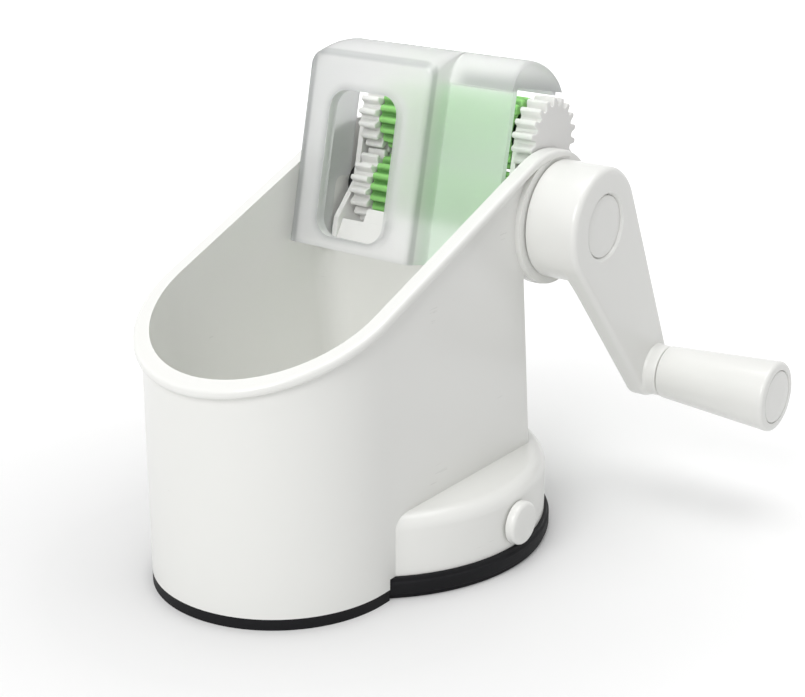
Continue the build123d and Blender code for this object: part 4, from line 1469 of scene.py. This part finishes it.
# ---- base -------------------------------------------------------------------
@dataclass
class SuctionBase:
    """Suction cup, its lever and stem, and the front foot."""

    layout: Layout
    palette: Palette
    cup_y: float = 44.8
    cup_r: float = 56.0
    cup_h: float = 6.7
    ring_r: float = 50.4
    sole_r: float = 43.0
    membrane_r: float = 40.0
    middle_r: float = 13.5
    middle_z: Flat = (2.0, 3.8)
    bead_z: Flat = (1.7, 5.0)
    lever_x: Flat = (-61.6, -55.4)
    lever_reach: float = 46.0
    hub_r: float = 7.1
    pad_length: float = 15.0
    pad_out: float = 6.0
    pad_z: Flat = (-3.6, -0.4)
    ridges: int = 6
    ridge_half: float = 0.5
    ridge_height: float = 0.9
    cap_x: Flat = (54.75, 57.8)
    cap_r: float = 6.7

    def cup(self) -> bpy.types.Object:
        """Build the rubber cup, with a bead round its outer wall."""
        under, over = self.middle_z
        low, high = self.bead_z
        side = self.cup_r - 0.6
        path = soften(((under, 0.0, 0), (under, self.middle_r, 0), (0.7, self.membrane_r, 3.0),
                       (0.0, self.sole_r, 0), (0.0, side, 0.5), (low - 0.4, side + 0.1, 0.3),
                       (low, self.cup_r, 0.3), (high, self.cup_r, 0.4), (high + 0.4, side, 0.2),
                       (self.cup_h, side - 0.1, 0.4), (self.cup_h, self.ring_r, 0.4),
                       (2.4, self.ring_r, 0.6), (over, self.middle_r, 0), (over, 0.0, 0)),
                      steps=4)
        axis = Vector((0, self.cup_y, 0))
        return turned("suction_cup_rubber", axis, Spin.ALONG_Z, path, count=160).make(40)

    def blade(self) -> list[Flat]:
        """Outline of the lever in the YZ plane, anticlockwise."""
        y, z = self.layout.lever.y, self.layout.lever.z
        tip = y + self.lever_reach
        return soften(((y - 6.9, z - 6.6, 6.4), (y + 6.0, z - 6.2, 8.0), (tip - 8, z - 4.7, 20.0),
                       (tip + 4.0, z - 4.6, 3.9), (tip + 4.0, z + 3.4, 3.9),
                       (y + 20, z + 4.6, 30.0), (y + 5.0, z + 6.4, 8.0), (y - 6.9, z + 6.6, 6.4)),
                      closed=True)

    def lever(self) -> bpy.types.Object:
        """Build the lever: hub, blade and ridged thumb pad."""
        x0, x1 = self.lever_x
        outline = self.blade()
        shape = MeshMaker("suction_lever_moulded")
        shape.loft(rounded_slab(
            lambda x, sunk: [Vector((x, y, z)) for y, z in inset(outline, sunk)],
            (x0 + 1.2, x1), (1.1, 0.8), (4, 3)))
        hub = soften(((x0 + 2.5, 0.5, 0), (x0 + 2.5, self.hub_r, 0), (x0, self.hub_r, 0.9),
                      (x0, 3.3, 0.2), (x0 + 0.6, 3.0, 0), (x0 + 0.6, 1.3, 0), (x0 + 2.5, 1.3, 0)))
        shape.loft([circle_x(self.layout.lever, x, r) for x, r in hub])
        self.pad(shape)
        return shape.make(40)

    def pad(self, shape: MeshMaker) -> None:
        """Add the thumb pad, with ridges across its top."""
        x0, x1 = self.lever_x[0] - self.pad_out, self.lever_x[1] - 0.6
        y1 = self.layout.lever.y + self.lever_reach + 2
        y0 = y1 - self.pad_length
        z = self.layout.lever.z
        plan = soften(((x0, y0, 2.6), (x1, y0, 0.6), (x1, y1, 0.6), (x0, y1, 2.6)), closed=True)
        shape.loft(rounded_slab(
            lambda height, sunk: [Vector((x, y, height)) for x, y in inset(plan, sunk)],
            (z + self.pad_z[0], z + self.pad_z[1]), (0.7, 0.7), (3, 3)))
        left, right = x0 + 1.4, x1 - 1.4
        for middle in spread(y0 + 2, y1 - 2, self.ridges):
            near, far = middle - self.ridge_half, middle + self.ridge_half
            ridge = soften(((left, near, 0.45), (right, near, 0.45), (right, far, 0.45),
                            (left, far, 0.45)), closed=True, steps=3)
            shape.loft([[Vector((x, y, z - height)) for x, y in inset(ridge, sunk)]
                        for height, sunk in ((self.ridge_height, 0.0), (0.1, 0.0), (0.0, 0.12))])

    def cap(self) -> bpy.types.Object:
        """Build the white cap on the right end of the cross shaft."""
        x0, x1 = self.cap_x
        path = soften(((x0, 2.9, 0), (x0, self.cap_r, 0.3), (x1 - 0.15, self.cap_r, 1.3),
                       (x1, 3.5, 3.0), (x1, 0.0, 0)))
        return turned("lever_cap_domed", self.layout.lever, Spin.ALONG_X, path).make(40)

    def build(self) -> None:
        """Build the base pieces and dress the ones that stay."""
        cup = self.cup()
        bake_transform(cup)
        self.palette.dress(cup, Slot.BLACK_RUBBER, "suction_cup")
        fit = self.palette.fit
        fit(self.lever(), "suction_lever", Slot.BLACK_PLASTIC, "suction_lever")
        fit(self.cap(), "suction_lever", Slot.WHITE_GLOSS, "lever_cap")
        self.palette.keep("front_foot", "foot_screws", "guide_plate", "plate_screws", "cup_stem",
                          "cup_insert", "cam_shaft", "lever_screw")


@dataclass
class BucketBody:
    """White body with the bucket, bearing cheeks and suction housing."""

    layout: Layout
    palette: Palette
    cap_r: float = 9.0
    cap_x: Flat = (-42.1, -39.9)

    def axle_cap(self) -> bpy.types.Object:
        """Build the cover over the left end of the lower shaft."""
        x0, x1 = self.cap_x
        path = soften(((x0, 0.0, 0), (x0 + 0.1, 5.0, 6.0), (x0 + 0.5, self.cap_r, 1.3),
                       (x1, self.cap_r, 0.0), (x1, 0.0, 0)))
        return turned("axle_cap_domed", self.layout.crank, Spin.ALONG_X, path).make(40)

    def build(self) -> None:
        """Build the cap and dress the body and the bearing frame."""
        self.palette.fit(self.axle_cap(), "body", Slot.WHITE_GLOSS, "axle_cap")
        self.palette.keep("body_shell", "left_bearing_plate", "right_bearing_plate",
                          "stripper_bar", "frame_screws", "right_wall_bush", "left_wall_bush",
                          "upper_left_bush", "upper_right_bush")


# ---- studio -----------------------------------------------------------------
@dataclass(frozen=True)
class Lamp:
    """A soft square lamp."""

    name: str
    place: Place
    size: float
    power: float


@dataclass(frozen=True)
class Studio:
    """Pale floor, soft lamps and the camera at the photograph's angle, in metres."""

    camera_place: Place = (0.32124, -0.37284, 0.24549)
    camera_back: Place = (0.5604, -0.7569, 0.3361)   # from the view's middle to the camera
    lens: float = 81.23
    sensor: float = 36.0
    aim: Place = (0.0, 0.05, 0.06)
    ambient: float = 0.44
    floor_half: float = 6.0
    floor_tone: Colour = (0.80, 0.80, 0.80)
    floor_glow: tuple[tuple[float, float, float, float], ...] = (
        # distance from and to, with the glow at each
        (0.07, 0.24, 0.05, 0.4),
        (0.24, 1.2, 0.0, 0.6),
    )
    lamps: tuple[Lamp, ...] = (
        Lamp("key", (0.16, -0.90, 0.72), 0.6, 5.4),
        Lamp("side", (-0.80, -0.30, 0.55), 0.6, 0.6),
        Lamp("top", (0.05, 0.10, 1.1), 0.8, 4.8),
    )

    def camera(self) -> None:
        """Place the camera at the photograph's angle."""
        data = bpy.data.cameras.new("camera")
        data.lens = self.lens
        data.sensor_width = self.sensor
        camera = bpy.data.objects.new("camera", data)
        camera.location = self.camera_place
        camera.rotation_mode = "QUATERNION"
        camera.rotation_quaternion = (-Vector(self.camera_back)).to_track_quat("-Z", "Y")
        bpy.context.scene.collection.objects.link(camera)
        bpy.context.scene.camera = camera

    def hang(self, lamp: Lamp) -> None:
        """Add one lamp, aimed at the object."""
        data = bpy.data.lights.new(lamp.name, "AREA")
        data.size = lamp.size
        data.energy = lamp.power
        holder = bpy.data.objects.new(lamp.name, data)
        holder.location = lamp.place
        holder.rotation_mode = "QUATERNION"
        holder.rotation_quaternion = (Vector(self.aim) - Vector(lamp.place)).to_track_quat(
            "-Z", "Y")
        bpy.context.scene.collection.objects.link(holder)

    @staticmethod
    def seen(graph: ShaderGraph) -> bpy.types.NodeSocket:
        """Mask that is 1 on camera, glossy and transmission rays."""
        rays = graph.add("ShaderNodeLightPath")
        shiny = graph.math("MAXIMUM", rays.outputs["Is Glossy Ray"],
                           rays.outputs["Is Transmission Ray"])
        return graph.math("MAXIMUM", rays.outputs["Is Camera Ray"], shiny)

    def floor(self) -> None:
        """Lay a wide pale floor that looks white away from the shadow."""
        half = self.floor_half
        mesh = bpy.data.meshes.new("floor")
        corners = [(-half, -half, 0), (half, -half, 0), (half, half, 0), (-half, half, 0)]
        mesh.from_pydata(corners, [], [(0, 1, 2, 3)])
        floor = bpy.data.objects.new("floor", mesh)
        bpy.context.scene.collection.objects.link(floor)
        material = bpy.data.materials.new("floor")
        material.use_nodes = True
        graph = ShaderGraph(material.node_tree)
        shader = material.node_tree.nodes["Principled BSDF"]
        plain = {"Base Color": self.floor_tone, "Roughness": 0.6, "Specular IOR Level": 0.2,
                 "Emission Color": (1.0, 1.0, 1.0)}
        for name, value in plain.items():
            shader.inputs[name].default_value = socket_value(value)
        reach = graph.add("ShaderNodeVectorMath", operation="LENGTH")
        graph.join(graph.place(), reach.inputs[0])
        lifts = []
        for start, end, low, high in self.floor_glow:
            lift = graph.add("ShaderNodeMapRange", From_Min=start, From_Max=end, To_Min=low,
                             To_Max=high)
            graph.join(reach.outputs["Value"], lift.inputs["Value"])
            lifts.append(lift.outputs[0])
        graph.join(graph.math("MULTIPLY", self.seen(graph), graph.math("ADD", *lifts)),
                   shader.inputs["Emission Strength"])
        mesh.materials.append(material)

    def world(self) -> None:
        """Set a soft world light with a white backdrop."""
        world = bpy.data.worlds.new("studio")
        world.use_nodes = True
        graph = ShaderGraph(world.node_tree)
        sky = world.node_tree.nodes["Background"]
        sky.inputs["Color"].default_value = (1, 1, 1, 1)
        lift = graph.math("MULTIPLY", self.seen(graph), 1 - self.ambient)
        graph.join(graph.math("ADD", lift, self.ambient), sky.inputs["Strength"])
        bpy.context.scene.world = world

    def build(self) -> None:
        """Build the whole studio."""
        bpy.context.scene.view_settings.view_transform = "Standard"
        self.camera()
        self.floor()
        self.world()
        for lamp in self.lamps:
            self.hang(lamp)


def main() -> None:
    """Build the looks around the frame."""
    logging.basicConfig(level=logging.INFO)
    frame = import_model()
    layout = Layout.read(frame["joints"])
    palette = Palette(frame, layout)
    palette.build()
    Studio().build()
    assemblies: tuple[Callable[[Layout, Palette], object], ...] = (
        BucketBody, SuctionBase, Rollers, Crank, Hood)
    for assembly in assemblies:
        assembly(layout, palette).build()
        LOG.info("finished %s", assembly.__name__)


if __name__ == "__main__":
    main()
